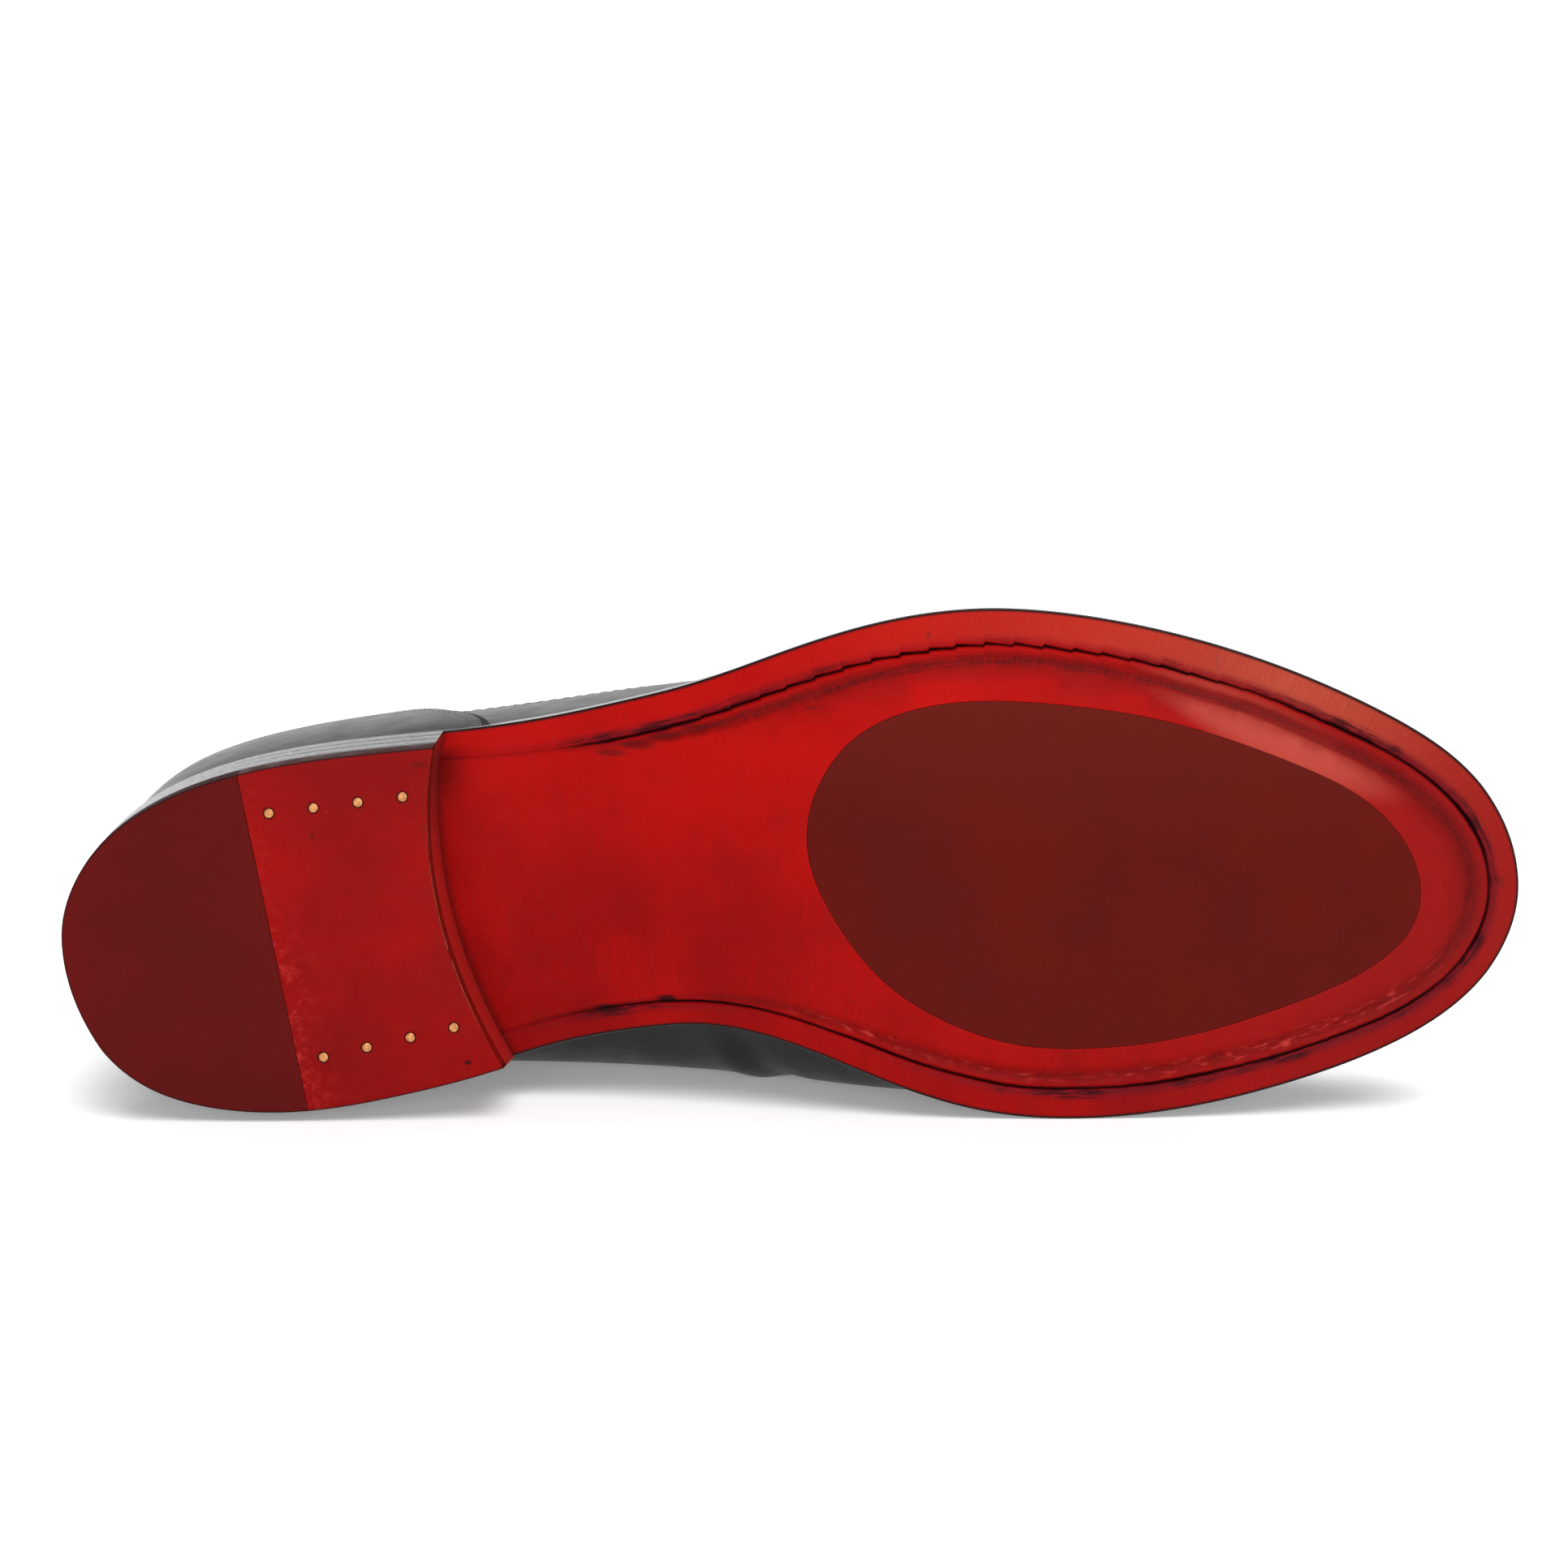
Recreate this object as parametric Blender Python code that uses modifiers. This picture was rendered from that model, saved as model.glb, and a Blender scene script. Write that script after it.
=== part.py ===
"""Right tassel loafer, lying on its inner side.

The shape functions work in millimetres in the shoe's own frame: x runs from the back of the heel to the toe,
y towards the inner side of the foot, and z up from the ground that the shoe would stand on.
The empty shoe_pose carries that frame and lays the shoe on the floor.
"""
import math

import bmesh
import bpy
import numpy as np
from mathutils import Matrix, Vector

# Driving dimensions in millimetres
MM = 0.001
GAP = 0.3
SOLE_BACK, SOLE_TIP = -1.0, 257.0
SOLE_THICKNESS, SOLE_EDGE_LEAN = 4.5, 0.6
HEEL_HEIGHT_BACK, HEEL_HEIGHT_FRONT = 19.4, 17.2
SEAT_FRONT = 78.0
BALL_BACK, BALL_FRONT = 160.0, 186.0
TOE_SPRING = 9.0
HEEL_TAPER = 1.0
TOP_PIECE = 5.0
BREAST_OUTER, BREAST_INNER, BREAST_SAG = 67.6, 77.4, 5.4
JOINT_OUTER, JOINT_INNER = (32.7, -28.5), (42.2, 30.9)
NAIL_RADIUS, NAIL_LENGTH, NAILS_PER_ROW = 0.85, 4.0, 4
INSERT_BACK, INSERT_TURN = (132.6, -16.0), math.radians(9.9)
INSERT_LENGTH, INSERT_DEPTH = 108.2, 1.6
UPPER_BACK, UPPER_TIP = 0.5, 252.0
WALL, UPPER_ROWS = 1.8, 10
BACK_HEIGHT, SIDE_HEIGHT, SIDE_LOW, THROAT = 80.0, 61.0, 84.0, 133.0
REAR_CURVE, FRONT_CURVE = 1.9, 2.4
COUNTER_FRONT, COUNTER_TOP, COUNTER_CURVE = 75.6, 57.0, 2.0
COUNTER_FOOT, COUNTER_REACH, COUNTER_THICKNESS = 0.03, 0.96, 1.2
INSOLE_INSET, INSOLE_THICKNESS, INSOLE_GAP = 3.4, 2.4, 0.4
TONGUE_TOP, TONGUE_TAPER, TONGUE_FOOT = 106.0, 129.0, 150.0
TONGUE_SHARE, TONGUE_ROUND, TONGUE_THICKNESS = 0.56, 2.2, 1.6
APRON_START, APRON_BEND, APRON_FRONT = 131.5, 178.0, 236.0
APRON_SHARE, APRON_ROUND, SEAM_RADIUS = 0.66, 2.3, 1.1
KNOT_PLACE, KNOT_SIZE = 141.0, (11.0, 13.0, 6.0)
TASSEL_STRIPS, TASSEL_LIFT = 11, 4.2

# Half widths of the insert to either side of its own line, from its heel end to its toe end
INSERT_COLUMNS = ("x", "outer", "inner")
INSERT_SECTIONS = (
    (5.0, 14.7, 13.7),
    (13.0, 21.3, 22.7),
    (26.0, 25.6, 30.2),
    (41.0, 27.0, 33.4),
    (56.0, 26.9, 32.0),
    (71.0, 24.8, 27.8),
    (86.0, 21.1, 21.1),
    (98.0, 15.9, 14.3),
    (105.0, 9.3, 8.1),
)
# Half widths of the outsole to either side of the line from the back of the heel to the toe
SOLE_COLUMNS = ("x", "outer", "inner")
SOLE_SECTIONS = (
    (5.0, 15.6, 19.8),
    (20.0, 26.0, 30.2),
    (40.0, 31.1, 32.7),
    (60.0, 32.9, 30.2),
    (72.0, 33.6, 27.6),
    (85.0, 35.0, 24.1),
    (100.0, 37.8, 21.4),
    (112.0, 40.6, 20.5),
    (130.0, 46.5, 24.4),
    (148.0, 51.4, 31.6),
    (165.0, 52.9, 36.5),
    (180.0, 51.4, 37.7),
    (200.0, 46.6, 36.0),
    (220.0, 38.9, 31.6),
    (240.0, 27.8, 24.0),
    (251.0, 17.6, 15.4),
)

# Sections of the last: half widths at the widest level, the share by which the foot of the wall is tucked
# in under it, the height of the widest level over the sole, and the ridge of the closed last over the ground
UPPER_COLUMNS = ("x", "outer", "inner", "tuck_outer", "tuck_inner", "bulge", "ridge")
UPPER_SECTIONS = (
    (5.0, 12.8, 16.0, 0.05, 0.05, 20.0, 97.0),
    (12.0, 20.8, 23.4, 0.05, 0.05, 20.0, 98.5),
    (22.0, 26.3, 27.8, 0.05, 0.05, 20.5, 100.0),
    (40.0, 30.2, 29.6, 0.05, 0.04, 22.0, 100.5),
    (60.0, 32.3, 30.3, 0.05, 0.07, 23.5, 99.0),
    (80.0, 33.8, 32.0, 0.06, 0.26, 25.0, 95.0),
    (100.0, 36.2, 33.4, 0.04, 0.40, 27.0, 88.0),
    (115.0, 38.3, 33.8, 0.04, 0.42, 24.0, 81.0),
    (130.0, 41.8, 34.3, 0.04, 0.33, 20.0, 73.5),
    (145.0, 46.0, 34.8, 0.03, 0.18, 15.0, 65.5),
    (160.0, 48.6, 34.6, 0.03, 0.05, 11.0, 58.0),
    (175.0, 48.2, 34.0, 0.03, 0.03, 9.0, 52.0),
    (190.0, 45.6, 33.0, 0.03, 0.03, 8.0, 47.0),
    (205.0, 41.2, 31.0, 0.03, 0.03, 8.0, 43.0),
    (220.0, 35.0, 27.4, 0.03, 0.03, 8.0, 39.5),
    (235.0, 26.6, 21.4, 0.03, 0.03, 8.0, 36.5),
    (246.0, 16.4, 13.4, 0.03, 0.03, 8.0, 35.0),
)
CROWN = 2.35
BULGE_LEVEL, BULGE_LIMIT = 0.25, 0.4
TOE_ROUND_START, TOE_ROUND_POWER = 218.0, 2.3
HEEL_LEAN_TOP, HEEL_LEAN_FOOT, HEEL_LEAN_REACH = 6.0, 1.2, 60.0

# First nail of each row and the step to the next
NAIL_COLUMNS = ("x", "y", "step_x", "step_y")
NAIL_ROWS = (
    (38.2, -21.8, 7.9, -0.67),
    (45.4, 22.0, 7.8, -1.5),
)

# Ends of each tassel on the vamp: along the shoe, and across it as a share of the half width
TASSEL_COLUMNS = ("name", "start_x", "start_share", "end_x", "end_share")
TASSELS = (
    ("tassel_outer", 147.5, -0.06, 183.0, 0.03),
    ("tassel_inner", 146.5, 0.16, 179.0, 0.44),
)

# Tassel from thong to fringe: place along its length, radius, and depth of the cuts between the strips
TASSEL_PROFILE_COLUMNS = ("along", "radius", "cut")
TASSEL_PROFILE = (
    (0.0, 1.5, 0.0),
    (0.16, 1.6, 0.0),
    (0.18, 2.7, 0.0),
    (0.22, 3.7, 0.0),
    (0.34, 4.1, 0.0),
    (0.37, 3.5, 0.0),
    (0.40, 4.2, 0.5),
    (0.55, 5.1, 1.1),
    (0.78, 5.8, 1.5),
    (1.0, 6.2, 1.9),
)

OUTER, INNER = -1.0, 1.0

# Fineness of the faceted solids: stations along each piece, and those of the upper behind the throat
SOLE_STATIONS, UPPER_STATIONS, INSOLE_STATIONS = 40, 44, 32
BEHIND_THROAT, STATION_CLEAR = (17.0, 12.5, 8.5, 5.0, 2.4, 0.7, 0.0), 4.0
NAIL_SIDES = 10
WELD, SHARP_ANGLE = 0.01, math.radians(40)

# Base colour, roughness and metallic value of each finish
FINISHES = {
    "sole_red": ((0.33, 0.012, 0.010), 0.38, 0.0),
    "rubber_brown": ((0.115, 0.012, 0.009), 0.7, 0.0),
    "heel_edge": ((0.05, 0.02, 0.017), 0.4, 0.0),
    "brass": ((0.58, 0.34, 0.13), 0.35, 1.0),
    "upper_black": ((0.012, 0.011, 0.012), 0.3, 0.0),
    "insole_tan": ((0.42, 0.25, 0.13), 0.6, 0.0),
}


def natural_cubic(xs, ys):
    """Natural cubic spline through the points, held level beyond both ends."""
    xs, ys = np.array(xs, float), np.array(ys, float)
    count, step = len(xs), np.diff(xs)
    matrix, right = np.eye(count), np.zeros(count)
    for i in range(1, count - 1):
        matrix[i, i - 1:i + 2] = step[i - 1], 2 * (step[i - 1] + step[i]), step[i]
        right[i] = 6 * ((ys[i + 1] - ys[i]) / step[i] - (ys[i] - ys[i - 1]) / step[i - 1])
    bend = np.linalg.solve(matrix, right)

    def value(x):
        x = min(max(x, xs[0]), xs[-1])
        i = min(max(int(np.searchsorted(xs, x)) - 1, 0), count - 2)
        a, b, h = xs[i + 1] - x, x - xs[i], step[i]
        curve = (bend[i] * a ** 3 + bend[i + 1] * b ** 3) / (6 * h)
        return float(curve + (ys[i] / h - bend[i] * h / 6) * a + (ys[i + 1] / h - bend[i + 1] * h / 6) * b)

    return value


def named_rows(columns, rows):
    return [dict(zip(columns, row)) for row in rows]


def column_curve(columns, rows, name):
    return natural_cubic([row[0] for row in rows], [row[columns.index(name)] for row in rows])


def rounded_width(columns, rows, name, start, end):
    """Half width along x that closes in a round end at start and at end."""
    def arch(x):
        return math.sqrt(max((x - start) * (end - x), 0.0))

    fullness = natural_cubic([row[0] for row in rows],
                             [row[columns.index(name)] / arch(row[0]) for row in rows])
    return lambda x: fullness(x) * arch(x)


SIDE_NAMES = {OUTER: "outer", INNER: "inner"}
SOLE_WIDTH = {side: rounded_width(SOLE_COLUMNS, SOLE_SECTIONS, name, SOLE_BACK, SOLE_TIP)
              for side, name in SIDE_NAMES.items()}
INSERT_WIDTH = {side: rounded_width(INSERT_COLUMNS, INSERT_SECTIONS, name, 0.0, INSERT_LENGTH)
                for side, name in SIDE_NAMES.items()}
UPPER_WIDTH = {side: rounded_width(UPPER_COLUMNS, UPPER_SECTIONS, name, UPPER_BACK, UPPER_TIP)
               for side, name in SIDE_NAMES.items()}
UPPER_TUCK = {side: column_curve(UPPER_COLUMNS, UPPER_SECTIONS, "tuck_" + name)
              for side, name in SIDE_NAMES.items()}
BULGE = column_curve(UPPER_COLUMNS, UPPER_SECTIONS, "bulge")
RIDGE = column_curve(UPPER_COLUMNS, UPPER_SECTIONS, "ridge")


def stations(start, end, count):
    """Places along x, closer together towards both round ends."""
    return [start + (end - start) * (1 - math.cos(math.pi * i / count)) / 2 for i in range(count + 1)]


def underside(x):
    """Height of the outsole's underside: heel seat, shank, ball flat and toe spring."""
    slope = (HEEL_HEIGHT_FRONT - HEEL_HEIGHT_BACK) / (SEAT_FRONT - SOLE_BACK)
    if x <= SEAT_FRONT:
        return HEEL_HEIGHT_BACK + slope * (x - SOLE_BACK)
    if x <= BALL_BACK:
        run = BALL_BACK - SEAT_FRONT
        t = (x - SEAT_FRONT) / run
        return HEEL_HEIGHT_FRONT * (2 * t ** 3 - 3 * t ** 2 + 1) + slope * run * (t ** 3 - 2 * t ** 2 + t)
    if x <= BALL_FRONT:
        return 0.0
    return TOE_SPRING * ((x - BALL_FRONT) / (SOLE_TIP - BALL_FRONT)) ** 2


def sole_top(x):
    return underside(x) + SOLE_THICKNESS


def edge_point(width, x, side, inset):
    """Point of an outline at x, moved in across the outline by inset."""
    step = 0.01
    slope = (width(x + step) - width(x - step)) / (2 * step)
    along = Vector((1.0, side * slope)).normalized()
    return x + inset * side * along.y, side * max(width(x) - inset * along.x, 0.0)


def upper_foot(side):
    return lambda x: UPPER_WIDTH[side](x) * (1 - UPPER_TUCK[side](x))


def upper_heights(x):
    """Heights of the foot of the wall, its widest level and its ridge at x."""
    foot = sole_top(x) + GAP
    reach = max((x - TOE_ROUND_START) / (UPPER_TIP - TOE_ROUND_START), 0.0)
    rise = (RIDGE(x) - foot) * (1 - min(reach, 1.0) ** TOE_ROUND_POWER) ** (1 / TOE_ROUND_POWER)
    return foot, foot + min(BULGE(x), BULGE_LIMIT * rise), foot + rise


def upper_point(x, side, level):
    """Outer face of the closed last: level 0 at the sole, 1 on the ridge."""
    foot, widest, ridge = upper_heights(x)
    width = UPPER_WIDTH[side](x)
    if level <= BULGE_LEVEL:
        share = level / BULGE_LEVEL
        z = foot + (widest - foot) * share
        y = width * (1 - UPPER_TUCK[side](x) * (1 - share) ** 2)
        lean = HEEL_LEAN_FOOT * (1 - share) ** 2
    else:
        angle = (level - BULGE_LEVEL) / (1 - BULGE_LEVEL) * math.pi / 2
        z = widest + (ridge - widest) * math.sin(angle) ** (2 / CROWN)
        y = width * max(math.cos(angle), 0.0) ** (2 / CROWN)
        lean = HEEL_LEAN_TOP * ((z - widest) / (BACK_HEIGHT - widest)) ** 2
    fade = max(1 - (x - UPPER_BACK) / HEEL_LEAN_REACH, 0.0) ** 2
    return Vector((x + lean * fade, side * y, z))


def upper_normal(x, side, level):
    """Outward direction of the last's face."""
    step, level = 0.5, min(max(level, 0.02), 0.985)
    along = upper_point(x + step, side, level) - upper_point(x - step, side, level)
    up = upper_point(x, side, level + 0.01) - upper_point(x, side, level - 0.01)
    return (along.cross(up) * -side).normalized()


def level_at_height(x, height):
    _, widest, ridge = upper_heights(x)
    share = min(max((height - widest) / (ridge - widest), 0.0), 1.0)
    return BULGE_LEVEL + (1 - BULGE_LEVEL) * math.asin(share ** (CROWN / 2)) / (math.pi / 2)


def level_at_share(share):
    """Level at which the wall has come in to this share of its half width."""
    return BULGE_LEVEL + (1 - BULGE_LEVEL) * math.acos(min(share, 1.0) ** (CROWN / 2)) / (math.pi / 2)


def topline(x):
    """Height of the collar's edge: high at the back, low at the ankle, up to the ridge at the throat."""
    if x < SIDE_LOW:
        share = (SIDE_LOW - x) / (SIDE_LOW - UPPER_BACK)
        return SIDE_HEIGHT + (BACK_HEIGHT - SIDE_HEIGHT) * share ** REAR_CURVE
    share = (x - SIDE_LOW) / (THROAT - SIDE_LOW)
    return SIDE_HEIGHT + (RIDGE(THROAT) - SIDE_HEIGHT) * share ** FRONT_CURVE


def collar_level(x):
    return 1.0 if x >= THROAT else level_at_height(x, topline(x))


def finish_material(name):
    if name in bpy.data.materials:
        return bpy.data.materials[name]
    colour, roughness, metallic = FINISHES[name]
    material = bpy.data.materials.new(name)
    material.use_nodes = True
    shader = material.node_tree.nodes["Principled BSDF"]
    shader.inputs["Base Color"].default_value = (*colour, 1.0)
    shader.inputs["Roughness"].default_value = roughness
    shader.inputs["Metallic"].default_value = metallic
    return material


def add_object(name, mesh, finish, collection):
    part = bpy.data.objects.new(name, mesh)
    mesh.materials.append(finish_material(finish))
    collection.objects.link(part)
    return part


def mesh_from(name, bm):
    """Weld the mesh, turn it into metres and shade it smooth between its sharp edges."""
    bmesh.ops.remove_doubles(bm, verts=bm.verts, dist=WELD)
    bmesh.ops.dissolve_degenerate(bm, dist=WELD / 2, edges=bm.edges)
    bmesh.ops.scale(bm, vec=(MM, MM, MM), verts=bm.verts)
    mesh = bpy.data.meshes.new(name)
    bm.to_mesh(mesh)
    bm.free()
    mesh.shade_smooth()
    mesh.set_sharp_from_angle(angle=SHARP_ANGLE)
    return mesh


def loft(name, rings):
    """Closed solid through rings that have the same number of points."""
    bm = bmesh.new()
    rows = [[bm.verts.new(point) for point in ring] for ring in rings]
    size = len(rows[0])
    for low, high in zip(rows, rows[1:]):
        for i in range(size):
            bm.faces.new((low[i], low[(i + 1) % size], high[(i + 1) % size], high[i]))
    bm.faces.new(rows[0][::-1])
    bm.faces.new(rows[-1])
    bmesh.ops.remove_doubles(bm, verts=bm.verts, dist=WELD)
    bmesh.ops.recalc_face_normals(bm, faces=bm.faces)
    return mesh_from(name, bm)


def rungs(rails, across):
    """Points across from the outer rail to the inner rail, a row for each pair of rail points."""
    return [[tuple(Vector(outer).lerp(Vector(inner), j / across)) for j in range(across + 1)]
            for outer, inner in zip(*rails)]


def plate(name, low_rails, high_rails, low, high, across=4):
    """Plate between rails in plan, with its lower and upper face at heights that follow x."""
    return loft(name, [[(x, y, low(x)) for x, y in under] + [(x, y, high(x)) for x, y in over[::-1]]
                       for under, over in zip(rungs(low_rails, across), rungs(high_rails, across))])


def sheet(name, grids):
    """Open surface from grids of points, each as rows along x, facing out; touching edges are welded."""
    bm = bmesh.new()
    for side, grid in grids:
        rows = [[bm.verts.new(point) for point in row] for row in grid]
        for low, high in zip(rows, rows[1:]):
            for j in range(len(low) - 1):
                corners = (low[j], high[j], high[j + 1], low[j + 1])
                bm.faces.new(corners if side == OUTER else corners[::-1])
    return mesh_from(name, bm)


def thicken(part, thickness, offset, lift=0.0):
    """Give an open surface its wall: offset -1 inwards, 1 outwards, after a lift along its normals."""
    if lift:
        move = part.modifiers.new("lift", "DISPLACE")
        move.mid_level = 0.0
        move.strength = lift * MM
    wall = part.modifiers.new("wall", "SOLIDIFY")
    wall.thickness = thickness * MM
    wall.offset = offset
    wall.use_even_offset = True


def cut(part, cutter):
    boolean = part.modifiers.new("cut", "BOOLEAN")
    boolean.operation = "DIFFERENCE"
    boolean.solver = "EXACT"
    boolean.object = cutter


def add_cutter(name, mesh, collection):
    cutter = bpy.data.objects.new(name, mesh)
    cutter.hide_render = True
    cutter.display_type = "WIRE"
    collection.objects.link(cutter)
    return cutter


def insert_rails(grow, count=22):
    """Both sides of the oval insert, from its heel end to its toe end."""
    rails = []
    for side in (OUTER, INNER):
        rail = []
        for x in stations(0.0, INSERT_LENGTH, count):
            along, across = edge_point(INSERT_WIDTH[side], x, side, -grow)
            if INSERT_WIDTH[side](x) == 0.0:
                across = 0.0
            rail.append((INSERT_BACK[0] + along * math.cos(INSERT_TURN) - across * math.sin(INSERT_TURN),
                         INSERT_BACK[1] + along * math.sin(INSERT_TURN) + across * math.cos(INSERT_TURN)))
        rails.append(rail)
    return rails


def make_sole(parts, cutters):
    places = stations(SOLE_BACK, SOLE_TIP, SOLE_STATIONS)
    low_rails, high_rails = [[[edge_point(SOLE_WIDTH[side], x, side, inset) for x in places]
                              for side in (OUTER, INNER)] for inset in (0.0, SOLE_EDGE_LEAN)]
    plain = plate("outsole", low_rails, high_rails, underside, sole_top)
    outsole = add_object("outsole", plain, "sole_red", parts)
    hole = insert_rails(GAP)
    pocket = plate("insert_pocket", hole, hole, lambda x: underside(x) - SOLE_THICKNESS,
                   lambda x: underside(x) + INSERT_DEPTH)
    cut(outsole, add_cutter("insert_pocket", pocket, cutters))
    oval = insert_rails(0.0)
    insert = plate("forefoot_insert", oval, oval, underside, lambda x: underside(x) + INSERT_DEPTH - GAP)
    add_object("forefoot_insert", insert, "rubber_brown", parts)


def heel_outline(inset, count=14, breast_count=10):
    """Closed outline of the heel: round the back along the sole's edge, then across the hollow breast."""
    sides = {}
    for side, front in ((OUTER, BREAST_OUTER), (INNER, BREAST_INNER)):
        places = [SOLE_BACK + (front - SOLE_BACK) * (1 - math.cos(math.pi / 2 * i / count))
                  for i in range(count + 1)]
        sides[side] = [edge_point(SOLE_WIDTH[side], x, side, inset) for x in places]
    outline = sides[OUTER][::-1] + sides[INNER][1:]
    start, end = Vector(outline[-1]), Vector(outline[0])
    for i in range(1, breast_count):
        share = i / breast_count
        point = start.lerp(end, share)
        outline.append((point.x - 4 * BREAST_SAG * share * (1 - share), point.y))
    return outline


def heel_layer(name, low, high, low_inset, high_inset):
    return loft(name, [[(x, y, low(x)) for x, y in heel_outline(low_inset)],
                       [(x, y, high(x)) for x, y in heel_outline(high_inset)]])


def keep_one_side(mesh, point, direction):
    """Cut a solid by an upright plane and keep what lies ahead of it."""
    bm = bmesh.new()
    bm.from_mesh(mesh)
    result = bmesh.ops.bisect_plane(bm, geom=bm.verts[:] + bm.edges[:] + bm.faces[:], plane_co=point,
                                    plane_no=direction, clear_inner=True)
    edges = [item for item in result["geom_cut"] if isinstance(item, bmesh.types.BMEdge)]
    bmesh.ops.edgenet_fill(bm, edges=edges)
    bmesh.ops.recalc_face_normals(bm, faces=bm.faces)
    bm.to_mesh(mesh)
    bm.free()


def make_heel(parts, cutters):
    stack_inset = HEEL_TAPER * TOP_PIECE / HEEL_HEIGHT_FRONT
    stack = heel_layer("heel_stack", lambda x: TOP_PIECE, lambda x: underside(x) - GAP,
                       HEEL_TAPER - stack_inset, 0.0)
    add_object("heel_stack", stack, "heel_edge", parts)
    joint = Vector(JOINT_INNER) - Vector(JOINT_OUTER)
    forward = Vector((joint.y, -joint.x, 0.0)).normalized()
    middle = (Vector(JOINT_OUTER).to_3d() + Vector(JOINT_INNER).to_3d()) / 2
    for name, finish, facing in (("heel_leather", "sole_red", 1), ("heel_rubber", "rubber_brown", -1)):
        piece = heel_layer(name, lambda x: 0.0, lambda x: TOP_PIECE - GAP, HEEL_TAPER,
                           HEEL_TAPER - stack_inset)
        keep_one_side(piece, (middle + forward * facing * GAP / 2) * MM, forward * facing)
        add_object(name, piece, finish, parts)
    leather = bpy.data.objects["heel_leather"]
    places = [(row["x"] + row["step_x"] * i, row["y"] + row["step_y"] * i)
              for row in named_rows(NAIL_COLUMNS, NAIL_ROWS) for i in range(NAILS_PER_ROW)]
    holes = bmesh.new()
    for i, (x, y) in enumerate(places):
        nail = bmesh.new()
        for mesh, radius, depth in ((nail, NAIL_RADIUS, NAIL_LENGTH),
                                    (holes, NAIL_RADIUS + GAP, 2 * (NAIL_LENGTH + GAP))):
            middle_height = depth / 2 if mesh is nail else 0.0
            bmesh.ops.create_cone(mesh, cap_ends=True, segments=NAIL_SIDES, radius1=radius, radius2=radius,
                                  depth=depth, matrix=Matrix.Translation((x, y, middle_height)))
        add_object(f"heel_nail_{i + 1}", mesh_from("heel_nail", nail), "brass", parts)
    cut(leather, add_cutter("nail_holes", mesh_from("nail_holes", holes), cutters))


def upper_stations():
    """Stations of the upper, with more of them where the collar closes at the throat."""
    near_throat = [THROAT - back for back in BEHIND_THROAT]
    spread = [x for x in stations(UPPER_BACK, UPPER_TIP, UPPER_STATIONS)
              if x < near_throat[0] - STATION_CLEAR or x > near_throat[-1] + STATION_CLEAR]
    return sorted(spread + near_throat)


def make_upper(parts):
    places = upper_stations()
    grids = [(side, [[upper_point(x, side, collar_level(x) * j / UPPER_ROWS) for j in range(UPPER_ROWS + 1)]
                     for x in places]) for side in (OUTER, INNER)]
    upper = add_object("upper", sheet("upper", grids), "upper_black", parts)
    thicken(upper, WALL, -1.0)


def counter_front(share):
    """Front edge of the counter at a share of the wall's height."""
    return COUNTER_FRONT - (COUNTER_FRONT - COUNTER_TOP) * (share / COUNTER_REACH) ** COUNTER_CURVE


def make_counter(parts):
    """Overlay on the upper's own stations and rows, each row ending at the counter's front edge."""
    rows = [COUNTER_FOOT] + [j / UPPER_ROWS for j in range(1, UPPER_ROWS)] + [COUNTER_REACH]
    places = [x for x in upper_stations() if x < COUNTER_FRONT] + [COUNTER_FRONT]
    grids = []
    for side in (OUTER, INNER):
        columns = [[min(x, counter_front(share)) for share in rows] for x in places]
        grids.append((side, [[upper_point(x, side, collar_level(x) * share) for x, share in zip(column, rows)]
                             for column in columns]))
    counter = add_object("counter", sheet("counter", grids), "upper_black", parts)
    thicken(counter, COUNTER_THICKNESS, 1.0, GAP)


def make_insole(parts):
    places = stations(UPPER_BACK, UPPER_TIP, INSOLE_STATIONS)
    rails = [[edge_point(upper_foot(side), x, side, INSOLE_INSET) for x in places] for side in (OUTER, INNER)]
    insole = plate("insole", rails, rails, lambda x: sole_top(x) + INSOLE_GAP,
                   lambda x: sole_top(x) + INSOLE_GAP + INSOLE_THICKNESS, 3)
    add_object("insole", insole, "insole_tan", parts)


def tongue_share(x):
    """Half width of the tongue as a share of the last's, closing in a round top."""
    reach = min(max((TONGUE_TAPER - x) / (TONGUE_TAPER - TONGUE_TOP), 0.0), 1.0)
    return TONGUE_SHARE * (1 - reach ** TONGUE_ROUND) ** (1 / TONGUE_ROUND)


def make_tongue(parts, along=13, levels=5):
    places = [TONGUE_TOP + (TONGUE_FOOT - TONGUE_TOP) * (i / along) ** 1.6 for i in range(along + 1)]
    grids = []
    for side in (OUTER, INNER):
        grid = []
        for x in places:
            edge = level_at_share(tongue_share(x))
            grid.append([upper_point(x, side, edge + (1 - edge) * j / levels) for j in range(levels + 1)])
        grids.append((side, grid))
    tongue = add_object("tongue", sheet("tongue", grids), "upper_black", parts)
    thicken(tongue, TONGUE_THICKNESS, -1.0, -(WALL + 3 * GAP))


def apron_route(count=26):
    """Middle line of the raised seam round the toe, from the throat's outer end to its inner end."""
    halves = []
    for side in (OUTER, INNER):
        half = []
        for i in range(count + 1):
            x = APRON_START + (APRON_FRONT - APRON_START) * math.sin(math.pi / 2 * i / count)
            reach = max((x - APRON_BEND) / (APRON_FRONT - APRON_BEND), 0.0)
            share = APRON_SHARE * (1 - reach ** APRON_ROUND) ** (1 / APRON_ROUND)
            level = level_at_share(share)
            half.append(upper_point(x, side, level) + upper_normal(x, side, level) * (GAP + SEAM_RADIUS))
        halves.append(half)
    return halves[0] + halves[1][-2::-1]


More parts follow.
